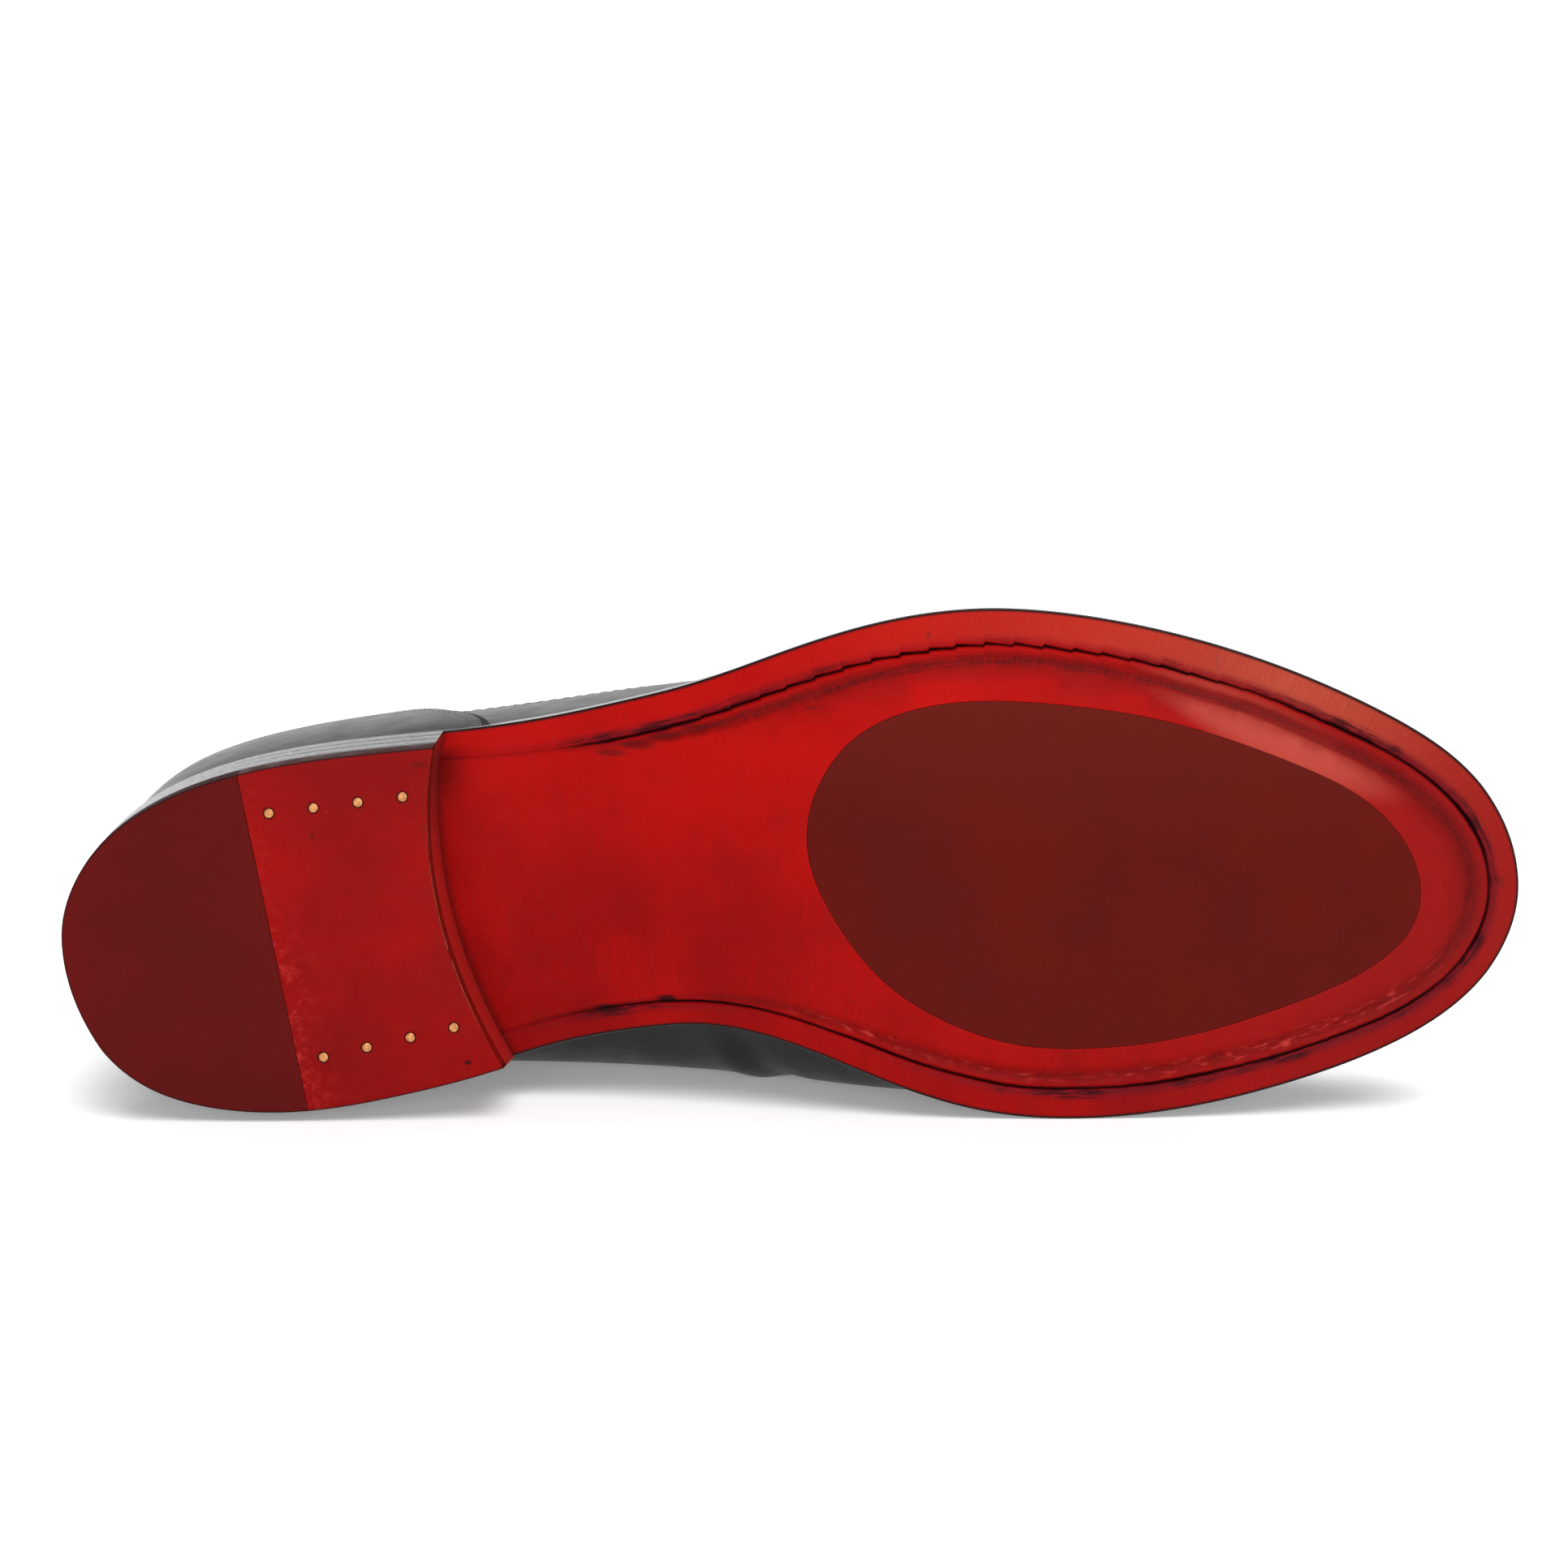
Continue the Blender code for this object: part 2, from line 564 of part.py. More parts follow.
def make_apron_seam(parts):
    curve = bpy.data.curves.new("apron_seam", "CURVE")
    curve.dimensions = "3D"
    curve.bevel_depth = SEAM_RADIUS * MM
    curve.bevel_resolution = 1
    curve.use_fill_caps = True
    spline = curve.splines.new("POLY")
    route = apron_route()
    spline.points.add(len(route) - 1)
    for point, place in zip(spline.points, route):
        point.co = (*(place * MM), 1.0)
    add_object("apron_seam", curve, "upper_black", parts)


def vamp_frame(x, share):
    """Point and outward direction on the vamp at a signed share of the half width."""
    side = OUTER if share < 0 else INNER
    level = level_at_share(abs(share))
    return upper_point(x, side, level), upper_normal(x, side, level)


def make_knot(parts):
    place, normal = vamp_frame(KNOT_PLACE, 0.0)
    bm = bmesh.new()
    bmesh.ops.create_uvsphere(bm, u_segments=14, v_segments=8, radius=0.5)
    bmesh.ops.scale(bm, vec=KNOT_SIZE, verts=bm.verts)
    turn = Vector((0.0, 0.0, 1.0)).rotation_difference(normal).to_matrix().to_4x4()
    lifted = place + normal * (KNOT_SIZE[2] / 2 + GAP)
    bmesh.ops.transform(bm, matrix=Matrix.Translation(lifted) @ turn, verts=bm.verts)
    add_object("tie_knot", mesh_from("tie_knot", bm), "upper_black", parts)


def tassel_ring(radius, cut_depth):
    """Cross-section: round, or with straight-sided strips parted by cuts."""
    points = []
    for strip in range(TASSEL_STRIPS):
        for share, deep in ((0.06, True), (0.14, False), (0.78, False), (0.92, True)):
            angle = 2 * math.pi * (strip + share) / TASSEL_STRIPS
            reach = radius - cut_depth if deep else radius
            points.append((reach * math.cos(angle), reach * math.sin(angle)))
    return points


def make_tassel(parts, name, start_x, start_share, end_x, end_share):
    profile = named_rows(TASSEL_PROFILE_COLUMNS, TASSEL_PROFILE)
    thick = max(row["radius"] for row in profile)
    start_place, start_normal = vamp_frame(start_x, start_share)
    end_place, end_normal = vamp_frame(end_x, end_share)
    start = start_place + start_normal * TASSEL_LIFT
    end = end_place + end_normal * (thick + 2 * GAP)
    axis = end - start
    turn = Vector((0.0, 0.0, 1.0)).rotation_difference(axis.normalized()).to_matrix()
    rings = [[start + axis * row["along"] + turn @ Vector((x, y, 0.0))
              for x, y in tassel_ring(row["radius"], row["cut"])] for row in profile]
    add_object(name, loft(name, rings), "upper_black", parts)


def world_points(part):
    evaluated = part.evaluated_get(bpy.context.evaluated_depsgraph_get())
    mesh = evaluated.to_mesh()
    points = np.array([part.matrix_world @ vertex.co for vertex in mesh.vertices])
    evaluated.to_mesh_clear()
    return points


def lay_on_side(pose, parts):
    """Turn the shoe until the sole's edge at ball and heel and the upper's inner side touch the floor."""
    points = {part.name: world_points(part) for part in parts.objects}
    middle = (BALL_BACK + SEAT_FRONT) / 2 * MM
    sole = np.concatenate([points["outsole"], points["heel_stack"], points["heel_rubber"]])
    soft = np.concatenate([points["upper"], points["counter"]])
    contacts = (sole[sole[:, 0] > middle], sole[sole[:, 0] < middle], soft)
    down = np.array((0.0, 1.0, 0.0))
    for _ in range(20):
        ball, heel, quarter = [group[np.argmax(group @ down)] for group in contacts]
        down = np.cross(ball - heel, quarter - heel)
        down *= math.copysign(1.0, down[1]) / np.linalg.norm(down)
    ahead = np.array((1.0, 0.0, 0.0)) - down * down[0]
    ahead /= np.linalg.norm(ahead)
    turn = np.array((ahead, np.cross(-down, ahead), -down))
    placed = np.concatenate(list(points.values())) @ turn.T
    low, high = placed.min(axis=0), placed.max(axis=0)
    shift = Vector((-(low[0] + high[0]) / 2, -(low[1] + high[1]) / 2, -low[2]))
    pose.matrix_world = Matrix.Translation(shift) @ Matrix(turn.tolist()).to_4x4()


def main():
    for old in list(bpy.data.objects):
        bpy.data.objects.remove(old, do_unlink=True)
    parts = bpy.data.collections.new("tassel_loafer")
    cutters = bpy.data.collections.new("cutters")
    for collection in (parts, cutters):
        bpy.context.scene.collection.children.link(collection)
    make_sole(parts, cutters)
    make_heel(parts, cutters)
    make_upper(parts)
    make_counter(parts)
    make_insole(parts)
    make_tongue(parts)
    make_apron_seam(parts)
    make_knot(parts)
    for row in named_rows(TASSEL_COLUMNS, TASSELS):
        make_tassel(parts, **row)
    bpy.context.view_layer.update()
    pose = bpy.data.objects.new("shoe_pose", None)
    bpy.context.scene.collection.objects.link(pose)
    lay_on_side(pose, parts)
    for piece in list(parts.objects) + list(cutters.objects):
        piece.parent = pose
    bpy.context.view_layer.update()


main()
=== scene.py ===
"""Looks of the tassel loafer: fine surfaces, stitches, finishes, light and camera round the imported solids.

Shapes are worked out in millimetres in the shoe's own frame, as in the part's source: x runs from the back
of the heel to the toe, y towards the inner side of the foot, z up from the ground that the shoe would stand
on. The pose of that frame is read from the nails in the heel.
"""
import math

import bmesh
import bpy
import numpy as np
from mathutils import Matrix, Vector
from mathutils.geometry import delaunay_2d_cdt


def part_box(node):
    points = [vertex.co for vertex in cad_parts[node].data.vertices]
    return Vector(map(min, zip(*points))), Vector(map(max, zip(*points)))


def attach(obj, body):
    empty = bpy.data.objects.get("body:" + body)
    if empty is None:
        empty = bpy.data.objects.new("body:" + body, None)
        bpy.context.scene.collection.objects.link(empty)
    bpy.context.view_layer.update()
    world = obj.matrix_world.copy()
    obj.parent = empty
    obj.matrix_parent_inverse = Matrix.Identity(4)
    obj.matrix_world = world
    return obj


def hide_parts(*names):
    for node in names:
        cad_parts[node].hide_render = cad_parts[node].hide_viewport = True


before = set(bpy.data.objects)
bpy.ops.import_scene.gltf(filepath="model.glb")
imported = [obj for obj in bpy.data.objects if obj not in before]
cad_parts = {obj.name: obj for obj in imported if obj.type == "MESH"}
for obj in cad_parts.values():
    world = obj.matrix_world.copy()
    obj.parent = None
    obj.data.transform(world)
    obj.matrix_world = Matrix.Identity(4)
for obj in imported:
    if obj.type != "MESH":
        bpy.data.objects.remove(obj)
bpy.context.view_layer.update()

# Sizes of the solids, in millimetres
MM = 0.001
GAP = 0.3
SOLE_BACK, SOLE_TIP = -1.0, 257.0
SOLE_THICKNESS = 4.5
HEEL_HEIGHT_BACK, HEEL_HEIGHT_FRONT = 19.4, 17.2
SEAT_FRONT = 78.0
BALL_BACK, BALL_FRONT = 160.0, 186.0
TOE_SPRING = 9.0
HEEL_TAPER = 1.0
TOP_PIECE = 5.0
BREAST_OUTER, BREAST_INNER, BREAST_SAG = 67.6, 77.4, 5.4
JOINT_OUTER, JOINT_INNER = 32.7, 42.2
NAIL_RADIUS, NAIL_LENGTH, NAILS_PER_ROW = 0.85, 4.0, 4
INSERT_BACK, INSERT_TURN = (132.6, -16.0), math.radians(9.9)
INSERT_LENGTH, INSERT_DEPTH = 108.2, 1.6
UPPER_BACK, UPPER_TIP = 0.5, 252.0
WALL = 1.8
BACK_HEIGHT, SIDE_HEIGHT, SIDE_LOW, THROAT = 80.0, 61.0, 84.0, 133.0
REAR_CURVE, FRONT_CURVE = 1.9, 2.4
COUNTER_FRONT, COUNTER_TOP, COUNTER_CURVE = 75.6, 57.0, 2.0
COUNTER_REACH, COUNTER_THICKNESS = 0.96, 1.45
SKIVE, SKIVE_EDGE, CUT_EDGE = 2.8, 0.35, 1.9
INSOLE_THICKNESS = 2.8
TONGUE_TOP, TONGUE_TAPER, TONGUE_FOOT = 106.0, 129.0, 150.0
TONGUE_SHARE, TONGUE_ROUND, TONGUE_THICKNESS = 0.56, 2.2, 1.6
APRON_START, APRON_BEND, APRON_FRONT = 131.5, 178.0, 236.0
APRON_SHARE, APRON_ROUND, SEAM_RADIUS = 0.66, 2.3, 1.1
KNOT_PLACE, KNOT_SIZE = 141.0, (11.0, 13.0, 6.0)
TASSEL_LIFT, TASSEL_TIP_LIFT = 4.2, 6.2 + 2 * GAP
CROWN = 2.35
BULGE_LEVEL, BULGE_LIMIT = 0.25, 0.4
TOE_ROUND_START, TOE_ROUND_POWER = 218.0, 2.3
HEEL_LEAN_TOP, HEEL_LEAN_FOOT, HEEL_LEAN_REACH = 6.0, 1.2, 60.0

INSERT_COLUMNS = ("x", "outer", "inner")
INSERT_SECTIONS = (
    (5.0, 14.7, 13.7),
    (13.0, 21.3, 22.7),
    (26.0, 25.6, 30.2),
    (41.0, 27.0, 33.4),
    (56.0, 26.9, 32.0),
    (71.0, 24.8, 27.8),
    (86.0, 21.1, 21.1),
    (98.0, 15.9, 14.3),
    (105.0, 9.3, 8.1),
)
SOLE_COLUMNS = ("x", "outer", "inner")
SOLE_SECTIONS = (
    (5.0, 15.6, 19.8),
    (20.0, 26.0, 30.2),
    (40.0, 31.1, 32.7),
    (60.0, 32.9, 30.2),
    (72.0, 33.6, 27.6),
    (85.0, 35.0, 24.1),
    (100.0, 37.8, 21.4),
    (112.0, 40.6, 20.5),
    (130.0, 46.5, 24.4),
    (148.0, 51.4, 31.6),
    (165.0, 52.9, 36.5),
    (180.0, 51.4, 37.7),
    (200.0, 46.6, 36.0),
    (220.0, 38.9, 31.6),
    (240.0, 27.8, 24.0),
    (251.0, 17.6, 15.4),
)
UPPER_COLUMNS = ("x", "outer", "inner", "tuck_outer", "tuck_inner", "bulge", "ridge")
UPPER_SECTIONS = (
    (5.0, 12.8, 16.0, 0.05, 0.05, 20.0, 97.0),
    (12.0, 20.8, 23.4, 0.05, 0.05, 20.0, 98.5),
    (22.0, 26.3, 27.8, 0.05, 0.05, 20.5, 100.0),
    (40.0, 30.2, 29.6, 0.05, 0.04, 22.0, 100.5),
    (60.0, 32.3, 30.3, 0.05, 0.07, 23.5, 99.0),
    (80.0, 33.8, 32.0, 0.06, 0.26, 25.0, 95.0),
    (100.0, 36.2, 33.4, 0.04, 0.40, 27.0, 88.0),
    (115.0, 38.3, 33.8, 0.04, 0.42, 24.0, 81.0),
    (130.0, 41.8, 34.3, 0.04, 0.33, 20.0, 73.5),
    (145.0, 46.0, 34.8, 0.03, 0.18, 15.0, 65.5),
    (160.0, 48.6, 34.6, 0.03, 0.05, 11.0, 58.0),
    (175.0, 48.2, 34.0, 0.03, 0.03, 9.0, 52.0),
    (190.0, 45.6, 33.0, 0.03, 0.03, 8.0, 47.0),
    (205.0, 41.2, 31.0, 0.03, 0.03, 8.0, 43.0),
    (220.0, 35.0, 27.4, 0.03, 0.03, 8.0, 39.5),
    (235.0, 26.6, 21.4, 0.03, 0.03, 8.0, 36.5),
    (246.0, 16.4, 13.4, 0.03, 0.03, 8.0, 35.0),
)
NAIL_COLUMNS = ("x", "y", "step_x", "step_y")
NAIL_ROWS = (
    (38.2, -21.8, 7.9, -0.67),
    (45.4, 22.0, 7.8, -1.5),
)
TASSEL_COLUMNS = ("name", "start_x", "start_share", "end_x", "end_share")
TASSELS = (
    ("tassel_outer", 147.5, -0.06, 183.0, 0.03),
    ("tassel_inner", 146.5, 0.16, 179.0, 0.44),
)

# Stitch channel of the outsole along x, on either side: place of the slit in from the edge, width of the
# band behind it, how far the slit gapes, strength of stains, of the rubbed pale rim and of shiny puckers,
# and how far the slit steps at each stitch
CHANNEL_COLUMNS = ("x", "slit_outer", "slit_inner", "band_outer", "band_inner", "gape_outer", "gape_inner",
                   "grime_outer", "grime_inner", "rubbed_outer", "rubbed_inner",
                   "pucker_outer", "pucker_inner", "step_outer", "step_inner")
CHANNEL = (
    (60.0, 5.0, 4.4, 0.5, 0.5, 0.3, 0.3, 0.0, 0.0, 0.0, 0.0, 0.0, 0.0, 0.1, 0.1),
    (86.0, 6.0, 4.6, 0.5, 0.5, 0.45, 0.5, 0.3, 0.3, 0.0, 0.0, 0.0, 0.0, 0.1, 0.1),
    (96.0, 6.4, 4.7, 1.2, 0.6, 1.0, 0.8, 1.0, 0.8, 0.0, 0.0, 0.0, 0.0, 0.2, 0.1),
    (108.0, 6.5, 4.3, 2.2, 1.0, 1.1, 0.9, 1.0, 0.5, 0.0, 0.0, 0.0, 0.0, 0.4, 0.1),
    (122.0, 6.2, 4.5, 3.2, 1.8, 1.2, 1.0, 0.8, 0.1, 0.0, 0.0, 0.0, 0.3, 0.6, 0.1),
    (138.0, 6.4, 5.1, 3.7, 2.5, 1.5, 1.1, 0.5, 0.1, 0.05, 0.0, 0.0, 0.7, 0.9, 0.1),
    (160.0, 6.5, 5.4, 3.6, 2.8, 1.6, 1.1, 0.35, 0.6, 0.15, 0.0, 0.0, 0.5, 1.0, 0.1),
    (178.0, 6.3, 5.3, 3.8, 3.0, 1.5, 1.1, 0.4, 1.0, 0.3, 0.0, 0.0, 0.5, 1.0, 0.2),
    (200.0, 6.2, 5.3, 3.8, 3.1, 1.2, 1.1, 0.5, 1.0, 0.55, 0.0, 0.0, 0.7, 0.5, 0.2),
    (218.0, 6.0, 5.2, 3.9, 3.2, 1.0, 1.1, 0.8, 1.0, 1.0, 0.0, 0.0, 1.0, 0.3, 0.2),
    (230.0, 6.0, 5.1, 3.9, 3.3, 1.0, 1.1, 0.9, 1.0, 0.75, 0.0, 0.0, 1.0, 0.2, 0.2),
    (246.0, 5.8, 4.9, 4.1, 3.7, 1.1, 1.1, 1.0, 0.9, 0.22, 0.0, 0.0, 0.5, 0.1, 0.1),
    (257.0, 5.4, 5.4, 4.3, 4.3, 1.0, 1.0, 0.9, 0.9, 0.05, 0.05, 0.1, 0.1, 0.1, 0.1),
)

# Small dark marks on the leather: place on the sole and half sizes
SPOT_COLUMNS = ("x", "y", "half_x", "half_y")
SPOTS = (
    (205.0, -41.9, 0.45, 1.3),
    (253.7, -0.5, 0.8, 0.9),
    (155.2, -48.7, 0.4, 0.6),
    (227.5, -33.5, 0.35, 0.9),
    (134.0, -36.3, 1.2, 0.3),
    (94.7, 17.7, 2.2, 0.8),
    (105.8, 15.8, 1.8, 0.7),
    (97.6, -28.6, 2.6, 0.6),
    (102.4, -29.9, 3.0, 0.8),
    (107.4, -31.5, 3.0, 0.8),
    (112.4, -33.3, 3.0, 0.6),
    (45.6, -18.1, 0.4, 0.5),
    (65.2, -30.1, 1.3, 0.5),
    (71.0, 23.1, 0.6, 0.4),
)

# Cross-section of the stitch channel: places and half widths past the slit, or as shares of the band
EDGE_COUNT = 1300
STITCH_STEP, STITCH_SAW = 5.4, 0.45
SLIT_HALF, SLIT_DEPTH = 0.31, 0.75
SLIT_ROWS = (-0.55, -0.4, -0.3, -0.2, -0.1, 0.0, 0.1, 0.2, 0.3, 0.42, 0.56, 0.72)
LIP_PLACE, LIP_HALF, LIP_HEIGHT = -0.6, 0.5, 0.06
BEAD_PLACE, BEAD_HALF, BEAD_HEIGHT = 0.75, 0.35, 0.14
ROLL_PLACE, ROLL_HALF, ROLL_HEIGHT = 0.3, 0.24, 0.16
VALLEY_PLACE, VALLEY_HALF, VALLEY_DEPTH = 0.74, 0.42, 0.45
RIM_INSET, BAND_START, BAND_INSET, BAND_FULL = 0.45, 0.9, 10.2, 2.5
PUCKER_PLACE, PUCKER_HALF, PUCKER_HEIGHT = 0.7, 0.42, 0.16
STAIN_PLACE, STAIN_HALF, SMUDGE_HALF = -0.7, 0.9, 1.2
LIMIT_PLACES, LIMIT_INSETS = (30.0, 62.0), (7.0, BAND_INSET)
WAIST_BACK, WAIST_FRONT, WAIST_FADE = 70.0, 124.0, 10.0
FAR_INSIDE = 20.0
SHEEN_PLACE, SHEEN_LEAN = (214.0, -28.8, 1.4), math.radians(29.0)
SHEEN_LENGTH, SHEEN_HALF = 25.0, 5.0

# Uneven lines along the sole's edge: distance between bends, and seed
WOBBLES = {"slit": (9.0, 3), "gape": (11.0, 5), "smear": (6.0, 11), "smudge": (2.2, 12), "folded": (8.0, 31)}
FOLD_LEAN, FOLD_PERIOD, FOLD_SEED = 0.9, 1.6, 40

# Rounded profiles: the sole's dressed edge, the oval, the heel's top piece, its nail holes and the nails
EDGE_WALL = ((0.14, 0.1), (0.02, 0.4), (0.0, 0.9), (0.1, 2.0), (0.35, 3.2), (0.55, 4.0), (0.75, 4.35),
             (1.1, SOLE_THICKNESS), (1.5, SOLE_THICKNESS))
INSERT_HOLE = ((0.45, 0.0), (0.1, 0.0), (0.03, 0.04), (0.02, INSERT_DEPTH))
INSERT_EDGE = ((-0.9, 0.0), (-0.3, 0.0), (-0.06, 0.02), (0.0, 0.12), (0.0, INSERT_DEPTH))
TOP_LEAN = HEEL_TAPER * TOP_PIECE / HEEL_HEIGHT_FRONT
TOP_COLUMNS = ("inset", "z", "dark", "worn", "browned")
TOP_EDGE = (
    (0.9, 0.0, 0.0, 0.0, 0.2),
    (0.4, 0.0, 0.3, 0.0, 0.7),
    (0.16, 0.05, 0.9, 0.5, 1.0),
    (0.04, 0.18, 1.0, 1.0, 1.0),
    (0.0, 0.45, 1.0, 0.8, 1.0),
    (-0.1 * TOP_LEAN, 0.8, 1.0, 0.0, 1.0),
    (-0.5 * TOP_LEAN, TOP_PIECE / 2, 1.0, 0.0, 0.9),
    (-TOP_LEAN, TOP_PIECE - 0.2, 1.0, 0.0, 0.8),
    (0.1 - TOP_LEAN, TOP_PIECE, 1.0, 0.0, 0.8),
)
NAIL_SIDES = 24
# Nail holes: distance out from the nail, depth, and strength of the painted shade in the hole
HOLE_PROFILE = ((0.7, 0.0, 0.0), (0.4, 0.0, 0.2), (0.2, 0.02, 0.7), (0.1, 0.12, 1.0), (0.08, 0.8, 1.0))
NAIL_PROFILE = ((0.1, 0.0), (0.6, 0.0), (0.86, 0.02), (0.96, 0.08), (1.0, 0.25), (1.0, 1.4))
LIFTS, LIFT_DENT = 3, 0.025
LIFT_PROFILE = ((0.0, LIFT_DENT), (0.02, 0.01), (0.05, 0.0), (0.5, 0.0), (0.95, 0.0), (0.98, 0.01))
HEEL_COUNT, BREAST_COUNT = 56, 40
JOINT_POINTS = {"leather": slice(HEEL_COUNT, 2 * HEEL_COUNT), "rubber": slice(2 * HEEL_COUNT - 1, None)}
JOINT_SCUFF = 3.0

# Wall of the upper, stitch rows (length, spacing, radius and lift of a stitch) and the fringes' layers
SHELL, LINING_TOP = 1.05, 0.985
LINING_DEPTH, TONGUE_DEPTH = 1.0, WALL + 0.6
INWARD, OUTWARD = -1.0, 1.0
INSOLE_EDGE = ((2.2, 0.1), (2.0, 0.6), (2.0, INSOLE_THICKNESS - 0.6), (2.3, INSOLE_THICKNESS - 0.15),
               (2.9, INSOLE_THICKNESS), (4.0, INSOLE_THICKNESS))
ROW_NEAR, ROW_FAR = 2.0, 3.9
UPPER_STITCH, WELT_STITCH = (1.8, 2.4, 0.21, -0.1), (2.0, 2.6, 0.32, 0.0)
WELT_START, WELT_INSET = 92.0, 1.75
SEAM_STEP, SEAM_PITCH, SEAM_ENDS = 0.45, 4.2, 5.0
WRAP_HALF, WRAP_HEIGHT, WRAP_RADIUS = 2.2, 1.75, 0.3
KNOT_TURNS = 3
THONG_HALF, THONG_HEIGHT, THONG_START, THONG_END, THONG_ARCH = 1.5, 1.1, 2.0, 0.2, 0.5
HEAD_START, HEAD_LENGTH, HEAD_RADIUS = 0.16, 0.22, 3.5
COIL_TURNS, COIL_HEIGHT, HEAD_GROWTH, HEAD_ROUND = 3, 0.45, 0.5, 0.25
FRINGE_START, FRINGE_RADIUS, FRINGE_FLARE, FRINGE_SEED = 0.36, 3.1, 2.6, 21
FRINGE_SHIFT, FRINGE_SWAY, FRINGE_CUT, FRINGE_STRAY = 0.3, (-0.09, 0.09), (-0.05, 0.0), (-0.1, 0.15)
FRINGE_COLUMNS = ("count", "inward", "width")
FRINGE = (
    (17, 0.0, 1.02),
    (9, 1.9, 1.5),
    (6, 4.0, 1.3),
)
STRIP_SECTION = ((1, 0.5), (0.85, 0.62), (-0.85, 0.62), (-1, 0.5), (-1, -0.5), (1, -0.5))

# Soft ridges and troughs of the upper: ends along the shoe and up the wall, half width and height
CREASE_COLUMNS = ("side", "x_start", "level_start", "x_end", "level_end", "half_width", "height")
OUTER, INNER = -1.0, 1.0
CREASES = (
    (INNER, 110.0, 0.0, 127.0, 0.34, 2.6, 0.6),
    (INNER, 116.0, 0.0, 131.0, 0.30, 2.8, -0.5),
    (INNER, 97.0, 0.0, 104.0, 0.2, 3.5, 0.35),
    (OUTER, 68.0, 0.55, 128.0, 0.55, 15.0, 1.0),
    (OUTER, 168.0, 0.42, 162.0, 1.0, 3.2, -0.45),
    (INNER, 170.0, 0.42, 162.0, 1.0, 3.2, -0.45),
    (OUTER, 178.0, 0.40, 172.0, 1.0, 3.0, -0.5),
    (INNER, 181.0, 0.38, 172.0, 1.0, 3.0, -0.5),
    (OUTER, 173.0, 0.45, 167.0, 1.0, 2.6, 0.3),
    (INNER, 175.5, 0.42, 167.0, 1.0, 2.6, 0.3),
)
HALF_GIRTH = 82.0

SIDE_NAMES = {OUTER: "outer", INNER: "inner"}
NAILS = sorted(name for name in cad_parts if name.startswith("heel_nail_"))

# Camera in the shoe's frame: its place, its axes, and the focal length in pixels of the square picture
PICTURE_SIDE, FOCAL_PIXELS, SENSOR = 1932.0, 5600.0, 36.0
CAMERA_PLACE = (168.2, -120.9, -786.5)
CAMERA_RIGHT, CAMERA_DOWN = (0.9981, 0.0436, 0.0444), (-0.0378, 0.9915, -0.1246)

# Display colours in 0 to 255
COLOURS = {
    "red_dark": (124, 5, 4), "red": (142, 6, 4), "red_patch": (92, 5, 6), "red_pore": (100, 9, 11),
    "red_brushed": (108, 9, 10), "red_speck": (50, 8, 10), "red_mark": (40, 8, 11), "red_lit": (190, 12, 6),
    "red_toe": (116, 17, 15), "corner": (48, 4, 4), "valley": (70, 8, 9), "rubbed": (158, 72, 53),
    "sheen": (168, 72, 60), "fold": (78, 7, 9), "shine": (170, 52, 46), "stain": (78, 11, 22),
    "grime": (42, 7, 12), "slit": (20, 5, 6), "sole_rim": (26, 14, 14), "heel_shade": (88, 8, 9),
    "heel_top_shade": (82, 8, 9), "scuff": (180, 50, 42), "nail_hole_shade": (60, 10, 12), "heel_rim": (34, 14, 14),
    "browned": (78, 23, 14), "worn": (190, 122, 96), "breast": (160, 24, 18), "foot": (36, 8, 9),
    "rubber_dark": (74, 13, 9), "rubber": (83, 14, 8), "rubber_lit": (90, 24, 17),
    "rubber_speck": (54, 11, 10), "rubber_dust": (120, 60, 50), "heel_rubber_dark": (74, 11, 10),
    "heel_rubber": (83, 13, 12), "heel_rubber_rim": (30, 14, 14), "edge_dark": (20, 14, 14),
    "edge": (38, 26, 24), "lift_dark": (22, 16, 16), "lift": (32, 23, 22), "tarnish": (150, 98, 62),
    "brass": (196, 140, 92), "black": (11, 10, 11), "black_pale": (20, 18, 19), "cut_dark": (14, 12, 13),
    "cut": (26, 23, 24), "tan_dark": (176, 132, 92), "tan": (196, 154, 112), "tan_fibre": (150, 106, 70),
}
NOISE_LOW, NOISE_HIGH = 0.3, 0.7

# Linear colours of the threads and the floor
UPPER_THREAD, WELT_THREAD, THREAD_LIGHT = (0.008, 0.008, 0.009), (0.03, 0.022, 0.02), 1.9
FLOOR_DARK, FLOOR_PALE = (0.9, 0.9, 0.9, 1.0), (0.92, 0.92, 0.92, 1.0)

# Studio in the part's frame, in metres and watts
FLOOR_RADIUS, WALL_RISE, FLOOR_GLOW = 1.6, 0.6, 0.2
FLOOR_RINGS = (0.4, 1.0, FLOOR_RADIUS)
SKY_COLOUR, SKY_STRENGTH = (0.95, 0.97, 1.0, 1.0), 0.3
KEY_WAY, KEY_SPREAD, KEY_STRENGTH = (-0.22, 0.5, -0.83), math.radians(45), 2.1
SOFTBOX_COLUMNS = ("name", "place", "target", "size", "power")
SOFTBOXES = (
    ("top", (-0.05, 0.45, 1.0), (0.0, 0.0, 0.045), (1.2, 0.4), 9.0),
    ("front", (0.1, -1.3, 0.3), (0.0, 0.0, 0.0), (1.6, 0.4), 8.0),
)


def named_rows(columns, rows):
    return [dict(zip(columns, row)) for row in rows]


